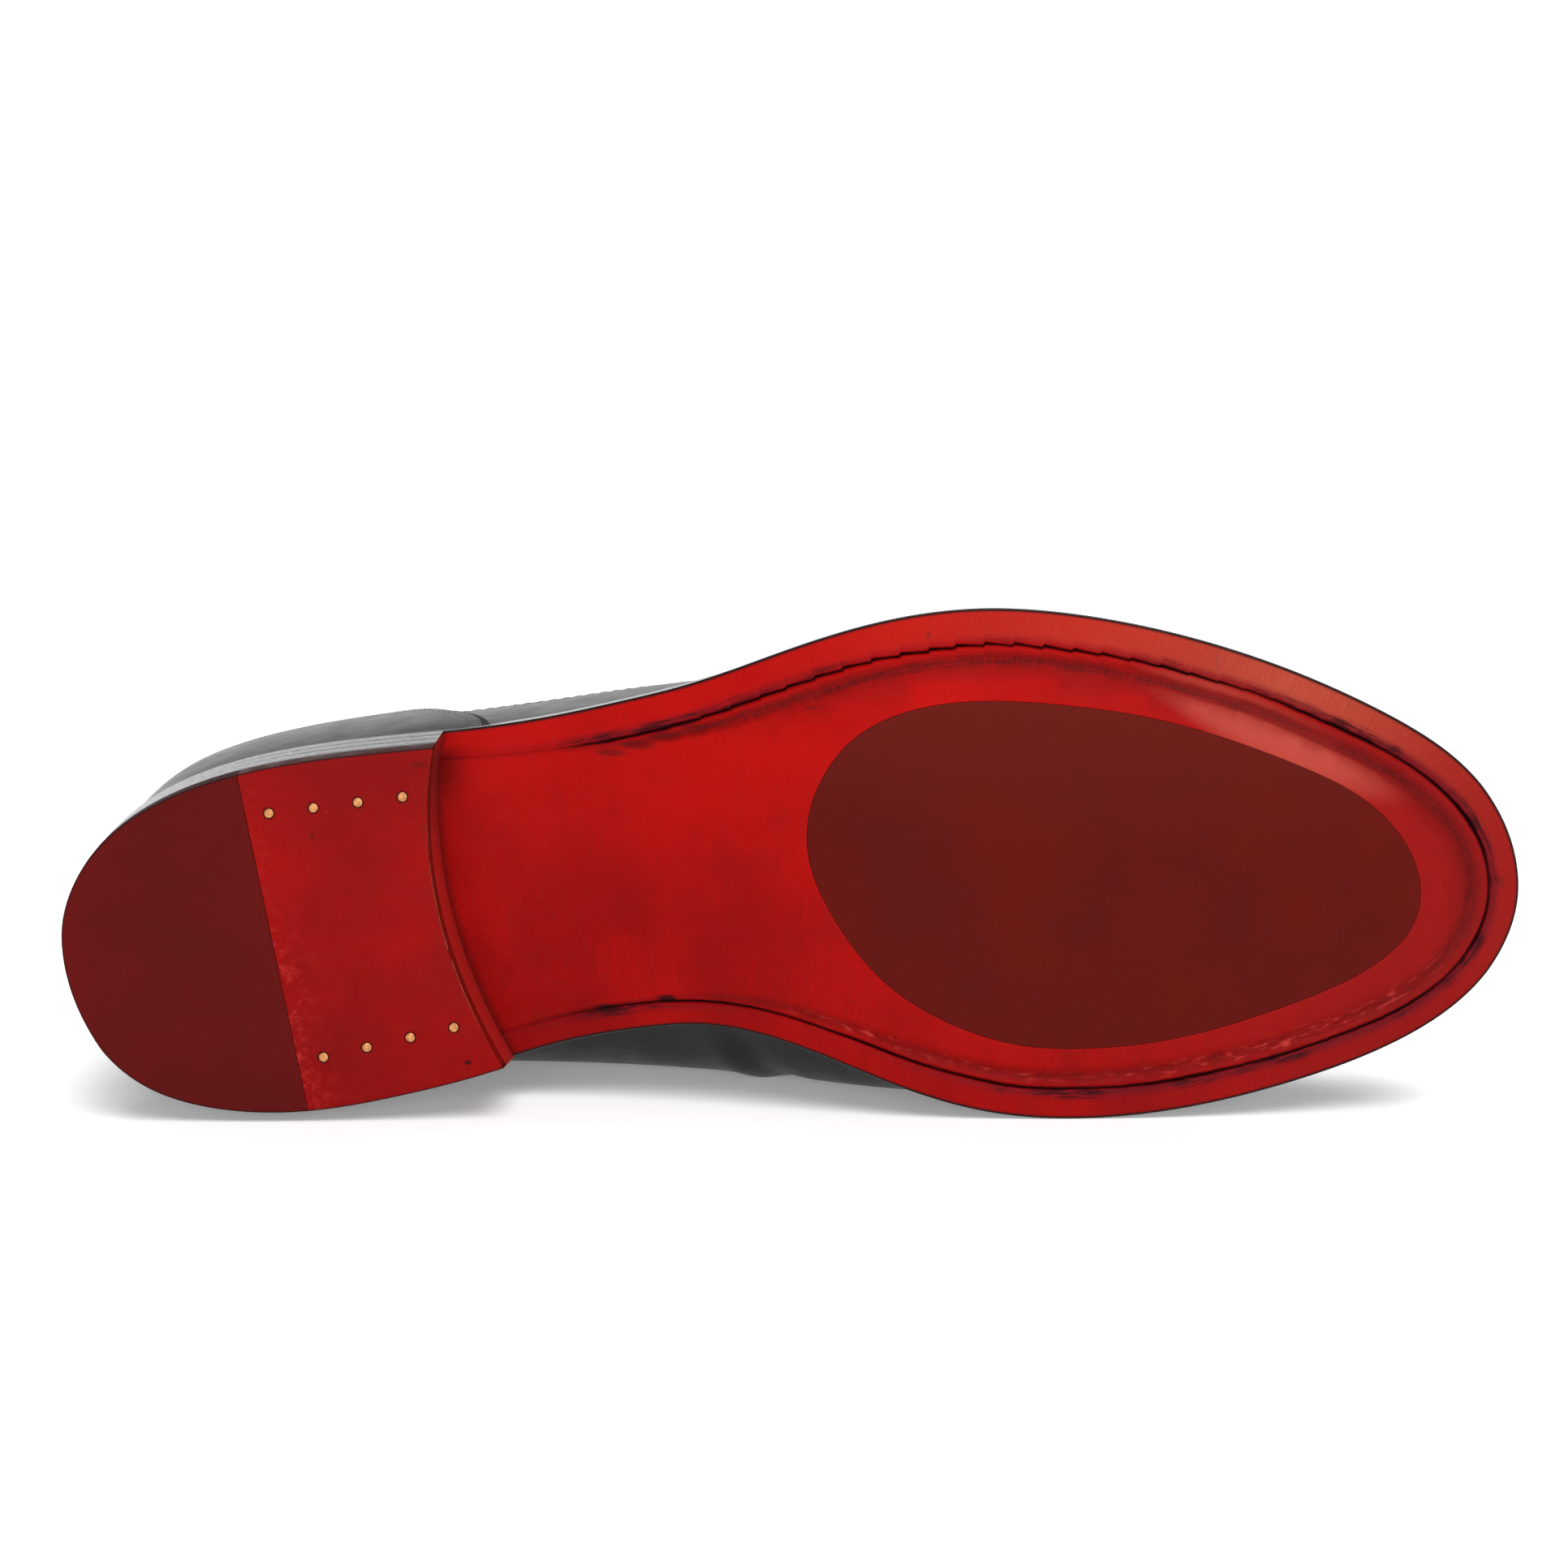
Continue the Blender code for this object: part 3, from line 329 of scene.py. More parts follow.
def natural_cubic(xs, ys):
    """Natural cubic spline through the points, held level beyond both ends."""
    xs, ys = np.array(xs, float), np.array(ys, float)
    count, step = len(xs), np.diff(xs)
    matrix, right = np.eye(count), np.zeros(count)
    for i in range(1, count - 1):
        matrix[i, i - 1:i + 2] = step[i - 1], 2 * (step[i - 1] + step[i]), step[i]
        right[i] = 6 * ((ys[i + 1] - ys[i]) / step[i] - (ys[i] - ys[i - 1]) / step[i - 1])
    bend = np.linalg.solve(matrix, right)

    def value(x):
        x = np.clip(x, xs[0], xs[-1])
        i = np.clip(np.searchsorted(xs, x) - 1, 0, count - 2)
        a, b, h = xs[i + 1] - x, x - xs[i], step[i]
        curve = (bend[i] * a ** 3 + bend[i + 1] * b ** 3) / (6 * h)
        return curve + (ys[i] / h - bend[i] * h / 6) * a + (ys[i + 1] / h - bend[i + 1] * h / 6) * b

    return value


def column(columns, rows, name):
    return [row[columns.index(name)] for row in rows]


def column_curve(columns, rows, name):
    return natural_cubic(column(columns, rows, "x"), column(columns, rows, name))


def rounded_width(columns, rows, name, start, end):
    """Half width along x that closes in a round end at start and at end."""
    def arch(x):
        return np.sqrt(np.maximum((x - start) * (end - x), 0.0))

    places = np.array(column(columns, rows, "x"))
    fullness = natural_cubic(places, np.array(column(columns, rows, name)) / arch(places))
    return lambda x: fullness(x) * arch(x)


SOLE_WIDTH = {side: rounded_width(SOLE_COLUMNS, SOLE_SECTIONS, name, SOLE_BACK, SOLE_TIP)
              for side, name in SIDE_NAMES.items()}
INSERT_WIDTH = {side: rounded_width(INSERT_COLUMNS, INSERT_SECTIONS, name, 0.0, INSERT_LENGTH)
                for side, name in SIDE_NAMES.items()}
UPPER_WIDTH = {side: rounded_width(UPPER_COLUMNS, UPPER_SECTIONS, name, UPPER_BACK, UPPER_TIP)
               for side, name in SIDE_NAMES.items()}
UPPER_TUCK = {side: column_curve(UPPER_COLUMNS, UPPER_SECTIONS, "tuck_" + name)
              for side, name in SIDE_NAMES.items()}
BULGE = column_curve(UPPER_COLUMNS, UPPER_SECTIONS, "bulge")
RIDGE = column_curve(UPPER_COLUMNS, UPPER_SECTIONS, "ridge")


def stations(start, end, count):
    """Places along x, closer together towards both round ends."""
    return start + (end - start) * (1 - np.cos(np.linspace(0.0, math.pi, count + 1))) / 2


def circle(count):
    """Cosines and sines of directions spread evenly all round."""
    angle = np.linspace(0.0, 2 * math.pi, count, endpoint=False)
    return np.cos(angle), np.sin(angle)


def bell(value, place, half):
    """Soft hump of height 1 at a place."""
    return np.exp(-((value - place) / half) ** 2)


def round_end(x, start, end, power):
    """Share that falls from 1 at start to 0 at end in a rounded curve."""
    reach = np.clip((x - start) / (end - start), 0.0, 1.0)
    return (1 - reach ** power) ** (1 / power)


def smooth(value):
    value = np.clip(value, 0.0, 1.0)
    return value * value * (3 - 2 * value)


def wobble(places, period, seed):
    """Smooth random line between -1 and 1 with bends about a period apart."""
    knots = np.arange(np.min(places) - 2 * period, np.max(places) + 3 * period, period)
    values = np.random.default_rng(seed).uniform(-1.0, 1.0, len(knots))
    return natural_cubic(knots, values)(places)


def underside(x):
    """Height of the outsole's underside: heel seat, shank, ball flat and toe spring."""
    x = np.asarray(x, float)
    slope = (HEEL_HEIGHT_FRONT - HEEL_HEIGHT_BACK) / (SEAT_FRONT - SOLE_BACK)
    run = BALL_BACK - SEAT_FRONT
    t = np.clip((x - SEAT_FRONT) / run, 0.0, 1.0)
    seat = HEEL_HEIGHT_BACK + slope * (x - SOLE_BACK)
    shank = HEEL_HEIGHT_FRONT * (2 * t ** 3 - 3 * t ** 2 + 1) + slope * run * (t ** 3 - 2 * t ** 2 + t)
    toe = TOE_SPRING * (np.maximum(x - BALL_FRONT, 0.0) / (SOLE_TIP - BALL_FRONT)) ** 2
    return np.where(x <= SEAT_FRONT, seat, shank) + toe


def sole_top(x):
    return underside(x) + SOLE_THICKNESS


def edge_points(width, x, side, inset):
    """Points of an outline at x, moved in across the outline by inset."""
    step = 0.01
    slope = (width(x + step) - width(x - step)) / (2 * step)
    length = np.sqrt(1 + slope ** 2)
    return np.column_stack([x + inset * slope / length, side * np.maximum(width(x) - inset / length, 0.0)])


def upper_heights(x):
    """Heights of the foot of the wall, its widest level and its ridge at x."""
    foot = sole_top(x) + GAP
    rise = (RIDGE(x) - foot) * round_end(x, TOE_ROUND_START, UPPER_TIP, TOE_ROUND_POWER)
    return foot, foot + np.minimum(BULGE(x), BULGE_LIMIT * rise), foot + rise


def upper_points(x, side, level):
    """Outer face of the closed last: level 0 in the sole's top, 1 on the ridge."""
    x, level = np.broadcast_arrays(np.asarray(x, float), np.asarray(level, float))
    foot, widest, ridge = upper_heights(x)
    foot = foot - 2 * GAP
    low = np.minimum(level / BULGE_LEVEL, 1.0)
    angle = np.clip((level - BULGE_LEVEL) / (1 - BULGE_LEVEL), 0.0, 1.0) * math.pi / 2
    rise = np.sin(angle) ** (2 / CROWN)
    z = foot + (widest - foot) * low + (ridge - widest) * rise
    tuck = 1 - UPPER_TUCK[side](x) * (1 - low) ** 2
    y = UPPER_WIDTH[side](x) * tuck * np.maximum(np.cos(angle), 0.0) ** (2 / CROWN)
    lean = HEEL_LEAN_FOOT * (1 - low) ** 2
    lean = lean + HEEL_LEAN_TOP * (np.maximum(z - widest, 0.0) / (BACK_HEIGHT - widest)) ** 2
    fade = np.maximum(1 - (x - UPPER_BACK) / HEEL_LEAN_REACH, 0.0) ** 2
    return np.stack([x + lean * fade, side * y, z], axis=-1)


def unit(vectors):
    return vectors / np.maximum(np.linalg.norm(vectors, axis=-1, keepdims=True), 1e-9)


def upper_normals(x, side, level):
    """Outward directions of the last's face, kept in the middle plane along the ridge and at both tips."""
    x, level = np.broadcast_arrays(np.asarray(x, float), np.asarray(level, float))
    inside = np.clip(level, 0.02, 0.985)
    step_x, step_level = 0.4, 0.006
    along = upper_points(x + step_x, side, inside) - upper_points(x - step_x, side, inside)
    up = upper_points(x, side, inside + step_level) - upper_points(x, side, inside - step_level)
    normals = np.cross(along, up) * -side
    middle = (level > 0.999) | (x < UPPER_BACK + 0.01) | (x > UPPER_TIP - 0.01)
    normals[..., 1] = np.where(middle, 0.0, normals[..., 1])
    return unit(normals)


def crease_relief(x, side, level):
    """Height of the creases over the smooth last."""
    relief = np.zeros(np.broadcast(x, level).shape)
    for row in named_rows(CREASE_COLUMNS, CREASES):
        if row["side"] == side:
            start = np.array((row["x_start"], row["level_start"] * HALF_GIRTH))
            end = np.array((row["x_end"], row["level_end"] * HALF_GIRTH))
            run = end - start
            dx, dy = x - start[0], level * HALF_GIRTH - start[1]
            share = (dx * run[0] + dy * run[1]) / (run @ run)
            away = (dx * run[1] - dy * run[0]) / np.linalg.norm(run)
            ends = smooth(share / 0.3 + 0.3)
            if row["level_end"] < 1.0:
                ends = ends * smooth((1 - share) / 0.35)
            relief = relief + row["height"] * ends * bell(away, 0.0, row["half_width"])
    return relief


def upper_skin(x, side, level, offset=0.0):
    """Creased face of the upper, moved out along its normals by offset."""
    normals = upper_normals(x, side, level)
    return upper_points(x, side, level) + normals * (offset + crease_relief(x, side, level))[..., None]


def on_upper(x, side, level, offset=0.0):
    """Points on the creased face and their outward directions."""
    return upper_skin(x, side, level, offset), upper_normals(x, side, level)


def level_at_height(x, height):
    _, widest, ridge = upper_heights(x)
    share = np.clip((height - widest) / np.maximum(ridge - widest, 0.01), 0.0, 1.0)
    return BULGE_LEVEL + (1 - BULGE_LEVEL) * np.arcsin(share ** (CROWN / 2)) / (math.pi / 2)


def level_at_share(share):
    """Level at which the wall has come in to this share of its half width."""
    angle = np.arccos(np.minimum(share, 1.0) ** (CROWN / 2))
    return BULGE_LEVEL + (1 - BULGE_LEVEL) * angle / (math.pi / 2)


def topline(x):
    """Height of the collar's edge: high at the back, low at the ankle, up to the ridge at the throat."""
    rear = np.maximum((SIDE_LOW - x) / (SIDE_LOW - UPPER_BACK), 0.0)
    front = np.maximum((x - SIDE_LOW) / (THROAT - SIDE_LOW), 0.0)
    rise = (BACK_HEIGHT - SIDE_HEIGHT) * rear ** REAR_CURVE
    return SIDE_HEIGHT + rise + (RIDGE(THROAT) - SIDE_HEIGHT) * front ** FRONT_CURVE


def collar_level(x):
    return np.where(x >= THROAT, 1.0, level_at_height(x, topline(x)))


def nail_places():
    return np.array([(row["x"] + row["step_x"] * i, row["y"] + row["step_y"] * i)
                     for row in named_rows(NAIL_COLUMNS, NAIL_ROWS) for i in range(NAILS_PER_ROW)])


def shoe_pose():
    """Turn and shift that carry the shoe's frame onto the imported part, from the middles of its nails."""
    own = np.column_stack([nail_places(), np.full(len(NAILS), NAIL_LENGTH / 2)]) * MM
    packed = np.array([(low + high) / 2 for low, high in map(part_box, NAILS)])
    left, _, right = np.linalg.svd((own - own.mean(0)).T @ (packed - packed.mean(0)))
    flip = np.diag((1.0, 1.0, np.linalg.det(left @ right)))
    turn = (left @ flip @ right).T
    return turn, packed.mean(0) - turn @ own.mean(0)


TURN, SHIFT = shoe_pose()


def in_part(points):
    """Points of the shoe's frame in metres in the part's frame."""
    return np.asarray(points, float) * MM @ TURN.T + SHIFT


class Surface:
    """Points, faces and painted values of one piece, gathered loop by loop."""

    def __init__(self, *masks):
        self.blocks, self.faces, self.count = [], [], 0
        self.masks = {name: [] for name in masks}

    def add(self, points, **masks):
        """Add points and return their numbers, in the shape of the rows that they came in."""
        points = np.asarray(points, float)
        flat = points.reshape(-1, 3)
        numbers = np.arange(self.count, self.count + len(flat)).reshape(points.shape[:-1])
        self.count += len(flat)
        self.blocks.append(flat)
        for name, values in self.masks.items():
            values.append(np.broadcast_to(masks.get(name, 0.0), points.shape[:-1]).ravel())
        return numbers

    def points(self):
        return np.concatenate(self.blocks)

    def bridge(self, low, high, closed=True):
        quads = np.column_stack([low, np.roll(low, -1), np.roll(high, -1), high])
        self.faces += (quads if closed else quads[:-1]).tolist()

    def rows(self, numbers, closed=True):
        for low, high in zip(numbers, numbers[1:]):
            self.bridge(low, high, closed)

    def cap(self, loop):
        self.faces.append(np.asarray(loop).tolist())

    def tube(self, points):
        """Closed tube through rings of points, capped at both ends."""
        rings = self.add(points)
        self.rows(rings)
        self.cap(rings[0])
        self.cap(rings[-1])

    def fill(self, loops, height, spacing, **masks):
        """Triangles across the plan between the first loop and the holes given after it."""
        rim = np.concatenate(loops)
        plan = self.points()[rim][:, :2]
        polygons = [self.points()[loop][:, :2] for loop in loops]
        edges, start = [], 0
        for loop in loops:
            size = len(loop)
            edges += [(start + i, start + (i + 1) % size) for i in range(size)]
            start += size
        low, high = plan.min(axis=0), plan.max(axis=0)
        steps = [np.arange(start, end, spacing) for start, end in zip(low, high)]
        inner = np.stack(np.meshgrid(*steps), -1).reshape(-1, 2)
        inner = inner[between(inner, polygons)]
        near = np.linalg.norm(inner[:, None] - plan[None], axis=2).min(axis=1)
        inner = inner[near > spacing * 0.6]
        painted = {name: mask(inner) if callable(mask) else mask for name, mask in masks.items()}
        added = self.add(np.column_stack([inner, height(inner[:, 0])]), **painted)
        numbers = np.concatenate([rim, added])
        spread = np.vstack([plan, inner])
        points, _, faces, origins, _, _ = delaunay_2d_cdt([Vector(p) for p in spread], edges, [], 0, 1e-7)
        faces = np.array([face for face in faces if len(face) == 3])
        middles = np.array([tuple(point) for point in points])[faces].mean(axis=1)
        sources = np.array([origin[0] for origin in origins])
        self.faces += numbers[sources[faces[between(middles, polygons)]]].tolist()


def between(points, polygons):
    """Which points lie in the first polygon and in none of the others."""
    inside = [within(points, polygon) for polygon in polygons]
    return inside[0] & ~np.any(inside[1:], axis=0) if len(inside) > 1 else inside[0]


def within(points, polygon):
    """Which points lie inside a closed polygon."""
    inside = np.zeros(len(points), bool)
    for (x1, y1), (x2, y2) in zip(polygon, np.roll(polygon, -1, axis=0)):
        if y1 != y2:
            crosses = (points[:, 1] < y1) != (points[:, 1] < y2)
            inside ^= crosses & (points[:, 0] < x1 + (points[:, 1] - y1) * (x2 - x1) / (y2 - y1))
    return inside


def add_object(name, data):
    """Object in the scene that shows the given data."""
    made = bpy.data.objects.new(name, data)
    bpy.context.scene.collection.objects.link(made)
    return made


def add_piece(name, surface, material, nodes=(), sharp=40.0, weld=0.004, edging=None):
    """Mesh of a surface as a piece that rides on the part and stands for the given nodes."""
    mesh = bpy.data.meshes.new(name)
    mesh.from_pydata(in_part(surface.points()).tolist(), [], surface.faces)
    for mask, values in surface.masks.items():
        mesh.attributes.new(mask, "FLOAT", "POINT").data.foreach_set("value", np.concatenate(values))
    bm = bmesh.new()
    bm.from_mesh(mesh)
    bmesh.ops.remove_doubles(bm, verts=bm.verts, dist=weld * MM)
    bmesh.ops.dissolve_degenerate(bm, edges=bm.edges, dist=weld * MM / 2)
    bmesh.ops.recalc_face_normals(bm, faces=bm.faces)
    bm.to_mesh(mesh)
    bm.free()
    mesh.shade_smooth()
    mesh.set_sharp_from_angle(angle=math.radians(sharp))
    mesh.materials.append(material)
    if edging:
        mesh.materials.append(edging)
        inset = np.empty(len(mesh.vertices))
        mesh.attributes["inset"].data.foreach_get("value", inset)
        for polygon in mesh.polygons:
            polygon.material_index = int(inset[polygon.vertices].max() < 0.0)
    piece = add_object(name, mesh)
    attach(piece, "root")
    if nodes:
        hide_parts(*nodes)
    return piece


def run_along(path):
    """Length of the way from a path's start to each of its points."""
    return np.concatenate([[0.0], np.cumsum(np.linalg.norm(np.diff(path, axis=0), axis=1))])


def at_places(places, run, points):
    """Points of a path at the given lengths along it."""
    return np.column_stack([np.interp(places, run, values) for values in points.T])


def even_loop(points, count):
    """Closed loop with its points spread evenly."""
    closed = np.vstack([points, points[:1]])
    run = run_along(closed)
    places = np.linspace(0.0, run[-1], count, endpoint=False)
    return at_places(places, run, closed), places


def sole_edge():
    """Outline of the outsole, from the back of the heel round the outer side, with inward directions."""
    x = stations(SOLE_BACK, SOLE_TIP, 3000)
    outer = np.column_stack([x, -SOLE_WIDTH[OUTER](x)])
    inner = np.column_stack([x, SOLE_WIDTH[INNER](x)])[::-1]
    loop, run = even_loop(np.vstack([outer[:-1], inner[:-1]]), EDGE_COUNT)
    tangent = unit(np.roll(loop, -1, axis=0) - np.roll(loop, 1, axis=0))
    return loop, np.column_stack([-tangent[:, 1], tangent[:, 0]]), run


def channel_values(loop, name):
    """A value of the stitch channel all round the outline."""
    places = column(CHANNEL_COLUMNS, CHANNEL, "x")
    sides = [np.interp(loop[:, 0], places, column(CHANNEL_COLUMNS, CHANNEL, f"{name}_{side}"))
             for side in ("outer", "inner")]
    return np.where(loop[:, 1] < 0, *sides)


def outline(widths, start, end, inset, count):
    """Closed outline with a half width on either side, moved in by inset."""
    x = stations(start, end, 400)
    outer, inner = [edge_points(widths[side], x, side, inset) for side in (OUTER, INNER)]
    return even_loop(np.vstack([outer[:-1], inner[:0:-1]]), count)[0]


def insert_outline(grow):
    """Closed oval of the rubber insert."""
    loop = outline(INSERT_WIDTH, 0.0, INSERT_LENGTH, -grow, 280)
    cos, sin = math.cos(INSERT_TURN), math.sin(INSERT_TURN)
    return loop @ np.array(((cos, sin), (-sin, cos))) + INSERT_BACK


def raised(plan, height, lift=0.0):
    """Plan points at a height that follows x, plus a lift."""
    return np.column_stack([plan, height(plan[:, 0]) + lift])


def flat_at(plan, z):
    """Plan points all at one height."""
    return np.column_stack([plan, np.full(len(plan), z)])


def heel_flat(x):
    """Face between the heel's top piece and its block."""
    return np.full_like(x, TOP_PIECE)


def make_outsole():
    """Leather sole with its stitch channel, puckers, dressed edge and the recess of the oval."""
    loop, inward, run = sole_edge()
    slit, band, gape, grime, rubbed, pucker, step = [
        channel_values(loop, name) for name in ("slit", "band", "gape", "grime", "rubbed", "pucker", "step")]
    saw = (run / STITCH_STEP) % 1.0
    slit = slit + STITCH_SAW * step * (saw - 0.5) + 0.1 * wobble(run, *WOBBLES["slit"])
    limit = np.interp(loop[:, 0], LIMIT_PLACES, LIMIT_INSETS)
    band = np.minimum(band, limit - slit - 0.2)
    full = np.clip(band / BAND_FULL, 0.0, 1.0)
    gape = gape * (1 - 0.35 * step * smooth(saw / 0.5)) * (0.85 + 0.2 * wobble(run, *WOBBLES["gape"]))
    smear = 0.62 + 0.5 * wobble(run, *WOBBLES["smear"]) + 0.3 * wobble(run, *WOBBLES["smudge"])
    smear = grime * np.clip(smear, 0.0, 1.0)
    folded = 0.55 + 0.45 * wobble(run, *WOBBLES["folded"])
    surface = Surface("slit", "valley", "stain", "grime", "rubbed", "gloss", "margin", "run", "inset")
    insets = [RIM_INSET + (slit - 1.0) * share for share in np.linspace(0.0, 1.0, 14)[:-1]]
    insets += [slit + offset for offset in SLIT_ROWS]
    insets += [slit + BAND_START + (limit - slit - BAND_START) * share for share in np.linspace(0.0, 1.0, 22)]
    rows = []
    for i, inset in enumerate(insets):
        past = inset - slit
        share = past / band
        behind = smooth(past / 0.4) * full
        valley = behind * bell(share, VALLEY_PLACE, VALLEY_HALF)
        roll = ROLL_HEIGHT * behind * bell(share, ROLL_PLACE, ROLL_HALF)
        bead = BEAD_HEIGHT * bell(past, BEAD_PLACE, BEAD_HALF)
        lip = LIP_HEIGHT * bell(past, LIP_PLACE, LIP_HALF)
        groove = SLIT_DEPTH * bell(past, 0.0, SLIT_HALF)
        creased = pucker * bell(share, PUCKER_PLACE, PUCKER_HALF)
        fold = wobble(run + FOLD_LEAN * i, FOLD_PERIOD, FOLD_SEED + i // 3) * folded
        relief = roll - VALLEY_DEPTH * valley + gape * (bead - lip - groove)
        relief = relief + PUCKER_HEIGHT * creased * (fold + 0.3)
        rows.append(surface.add(
            raised(loop + inward * inset[:, None], underside, -relief), run=run, inset=inset, gloss=creased,
            slit=gape * bell(past, 0.0, 0.75 * SLIT_HALF), valley=valley * (1 - 0.6 * pucker),
            rubbed=rubbed * smooth(-past / 2.0), margin=smooth((limit - inset) / 1.5),
            stain=grime * bell(past, STAIN_PLACE, STAIN_HALF),
            grime=smear * bell(past, STAIN_PLACE, SMUDGE_HALF)))
    waist = smooth((loop[:, 0] - WAIST_BACK) / WAIST_FADE) * smooth((WAIST_FRONT - loop[:, 0]) / WAIST_FADE)
    lean = (1 - 0.9 * waist * (loop[:, 1] < 0))[:, None]
    sides = [surface.add(raised(loop + inward * inset * lean, underside, lift), run=run, inset=-lift)
             for inset, lift in EDGE_WALL]
    surface.rows(sides[::-1] + rows)
    surface.fill([sides[-1]], sole_top, spacing=7.0, inset=-SOLE_THICKNESS)
    hole = [surface.add(raised(insert_outline(grow), underside, lift), inset=FAR_INSIDE)
            for grow, lift in INSERT_HOLE]
    surface.rows(hole)
    surface.fill([rows[-1], hole[0]], underside, spacing=3.2, inset=FAR_INSIDE)
    surface.fill([hole[-1]], insert_back, spacing=8.0, inset=FAR_INSIDE)
    add_piece("sole_leather", surface, red_leather(), ["outsole"], edging=sole_edging())


def insert_back(x):
    """Face in the sole that the oval's back lies on."""
    return underside(x) + INSERT_DEPTH


def make_insert():
    """Oval of rubber with a softened edge, let into the sole."""
    surface = Surface()
    rings = [surface.add(raised(insert_outline(grow), underside, lift)) for grow, lift in INSERT_EDGE]
    surface.rows(rings)
    surface.fill([rings[0]], underside, spacing=3.0)
    surface.fill([rings[-1]], insert_back, spacing=8.0)
    add_piece("oval_rubber", surface, sole_rubber(), ["forefoot_insert"])


def heel_side(side, start, end, inset, count):
    """Run of the heel's outline along one side, bunched towards its back."""
    x = start + (end - start) * (1 - np.cos(np.linspace(0.0, math.pi / 2, count)))
    return edge_points(SOLE_WIDTH[side], x, side, inset)


def straight(start, end, count):
    """Points between two ends, which are left out."""
    share = np.linspace(0.0, 1.0, count + 2)[1:-1, None]
    return start + (end - start) * share


def heel_breast(inset, count=BREAST_COUNT):
    """Hollow front of the heel, from its inner to its outer corner."""
    start = edge_points(SOLE_WIDTH[INNER], np.array([BREAST_INNER]), INNER, inset)[0]
    end = edge_points(SOLE_WIDTH[OUTER], np.array([BREAST_OUTER]), OUTER, inset)[0]
    share = np.linspace(0.0, 1.0, count + 2)[1:-1]
    line = straight(start, end, count)
    line[:, 0] -= 4 * BREAST_SAG * share * (1 - share)
    return line


def heel_loop(part, inset, count=HEEL_COUNT):
    """Closed outline of the whole heel, or of its top piece's leather or rubber part."""
    sides = []
    for side, front, joint in ((OUTER, BREAST_OUTER, JOINT_OUTER), (INNER, BREAST_INNER, JOINT_INNER)):
        if part == "leather":
            x = np.linspace(joint + 0.06, front, count)
            sides.append(edge_points(SOLE_WIDTH[side], x, side, inset))
        else:
            end = front if part == "whole" else joint - 0.06
            sides.append(heel_side(side, SOLE_BACK, end, inset, count))
    outer, inner = sides
    if part == "whole":
        return np.vstack([outer[::-1], inner[1:], heel_breast(inset)])
    if part == "rubber":
        return np.vstack([outer[::-1], inner[1:], straight(inner[-1], outer[-1], count)])
    return np.vstack([outer[::-1], straight(outer[0], inner[0], count), inner, heel_breast(inset)])


def make_stack():
    """Heel block with its lifts parted by fine lines, and the breast painted like the sole, with painted
    shade at its foot by the sole and towards its outer end.
    """
    surface = Surface("breast", "foot", "lift")
    steps = [((i + share) / LIFTS, dent) for i in range(LIFTS) for share, dent in LIFT_PROFILE]
    taper = HEEL_TAPER * (1 - TOP_PIECE / HEEL_HEIGHT_FRONT)
    front = slice(-1 - BREAST_COUNT, None)
    # Painted shade on the breast, darker towards its outer end and along its foot
    shade = 0.6 * smooth((np.linspace(0.0, 1.0, BREAST_COUNT + 1) - 0.62) / 0.26)
    rings = []
    for share, dent in steps + [(1.0, LIFT_DENT)]:
        plan = heel_loop("whole", taper * (1 - share) + dent)
        z = TOP_PIECE + (underside(plan[:, 0]) - TOP_PIECE) * share
        breast, foot = np.zeros(len(plan)), np.zeros(len(plan))
        breast[front] = 1.0
        foot[front] = np.maximum(smooth((share - 0.8) / 0.18), shade)
        rings.append(surface.add(np.column_stack([plan, z]), breast=breast, foot=foot, lift=share * LIFTS))
    surface.rows(rings)
    surface.fill([rings[0]], heel_flat, spacing=8.0)
    surface.fill([rings[-1]], underside, spacing=8.0)
    add_piece("heel_lifts", surface, heel_edge(), ["heel_stack"])


def make_top_piece(part, material, node):
    """Leather or rubber part of the heel's top piece, with rounded edges and holes for the nails."""
    surface = Surface("rim", "ring", "joint", "worn", "browned")
    front = slice(-BREAST_COUNT, None)
    rings = []
    for row in named_rows(TOP_COLUMNS, TOP_EDGE):
        plan = heel_loop(part, HEEL_TAPER + row["inset"])
        rim, worn, browned = np.full(len(plan), row["dark"]), np.zeros(len(plan)), np.zeros(len(plan))
        if part == "leather":
            rim[front] *= 0.2
            worn[front] = row["worn"] * np.linspace(1.0, 0.2, BREAST_COUNT)
            browned[front] = row["browned"] * np.linspace(0.3, 1.0, BREAST_COUNT)
        rim[JOINT_POINTS[part]] = 0.0
        rings.append(surface.add(flat_at(plan, row["z"]), rim=rim, worn=worn, browned=browned,
                                 joint=joint_glow(plan)))
    surface.rows(rings)
    holes = []
    if part == "leather":
        around = np.column_stack(circle(NAIL_SIDES))
        for place in nail_places():
            # ring carries the painted shade down each nail hole
            walls = [surface.add(flat_at(place + around * (NAIL_RADIUS + away), depth), ring=dark)
                     for away, depth, dark in HOLE_PROFILE]
            surface.rows(walls)
            surface.cap(walls[-1])
            holes.append(walls[0])
    surface.fill([rings[0]] + holes, np.zeros_like, spacing=2.5, joint=joint_glow)
    surface.fill([rings[-1]], heel_flat, spacing=8.0)
    add_piece("top_" + part, surface, material, [node])


def joint_distance(plan):
    """Distance of plan points from the joint between the heel's leather and rubber."""
    ends = [edge_points(SOLE_WIDTH[side], np.array([x]), side, HEEL_TAPER)[0]
            for side, x in ((OUTER, JOINT_OUTER), (INNER, JOINT_INNER))]
    along = unit(ends[1] - ends[0])
    return np.abs((plan - ends[0]) @ np.array((along[1], -along[0])))


def joint_glow(plan):
    """Strength of the scuffs beside the joint, more of them towards the inner side."""
    return np.exp(-joint_distance(plan) / JOINT_SCUFF) * (0.25 + 0.75 * smooth((plan[:, 1] + 8) / 16))


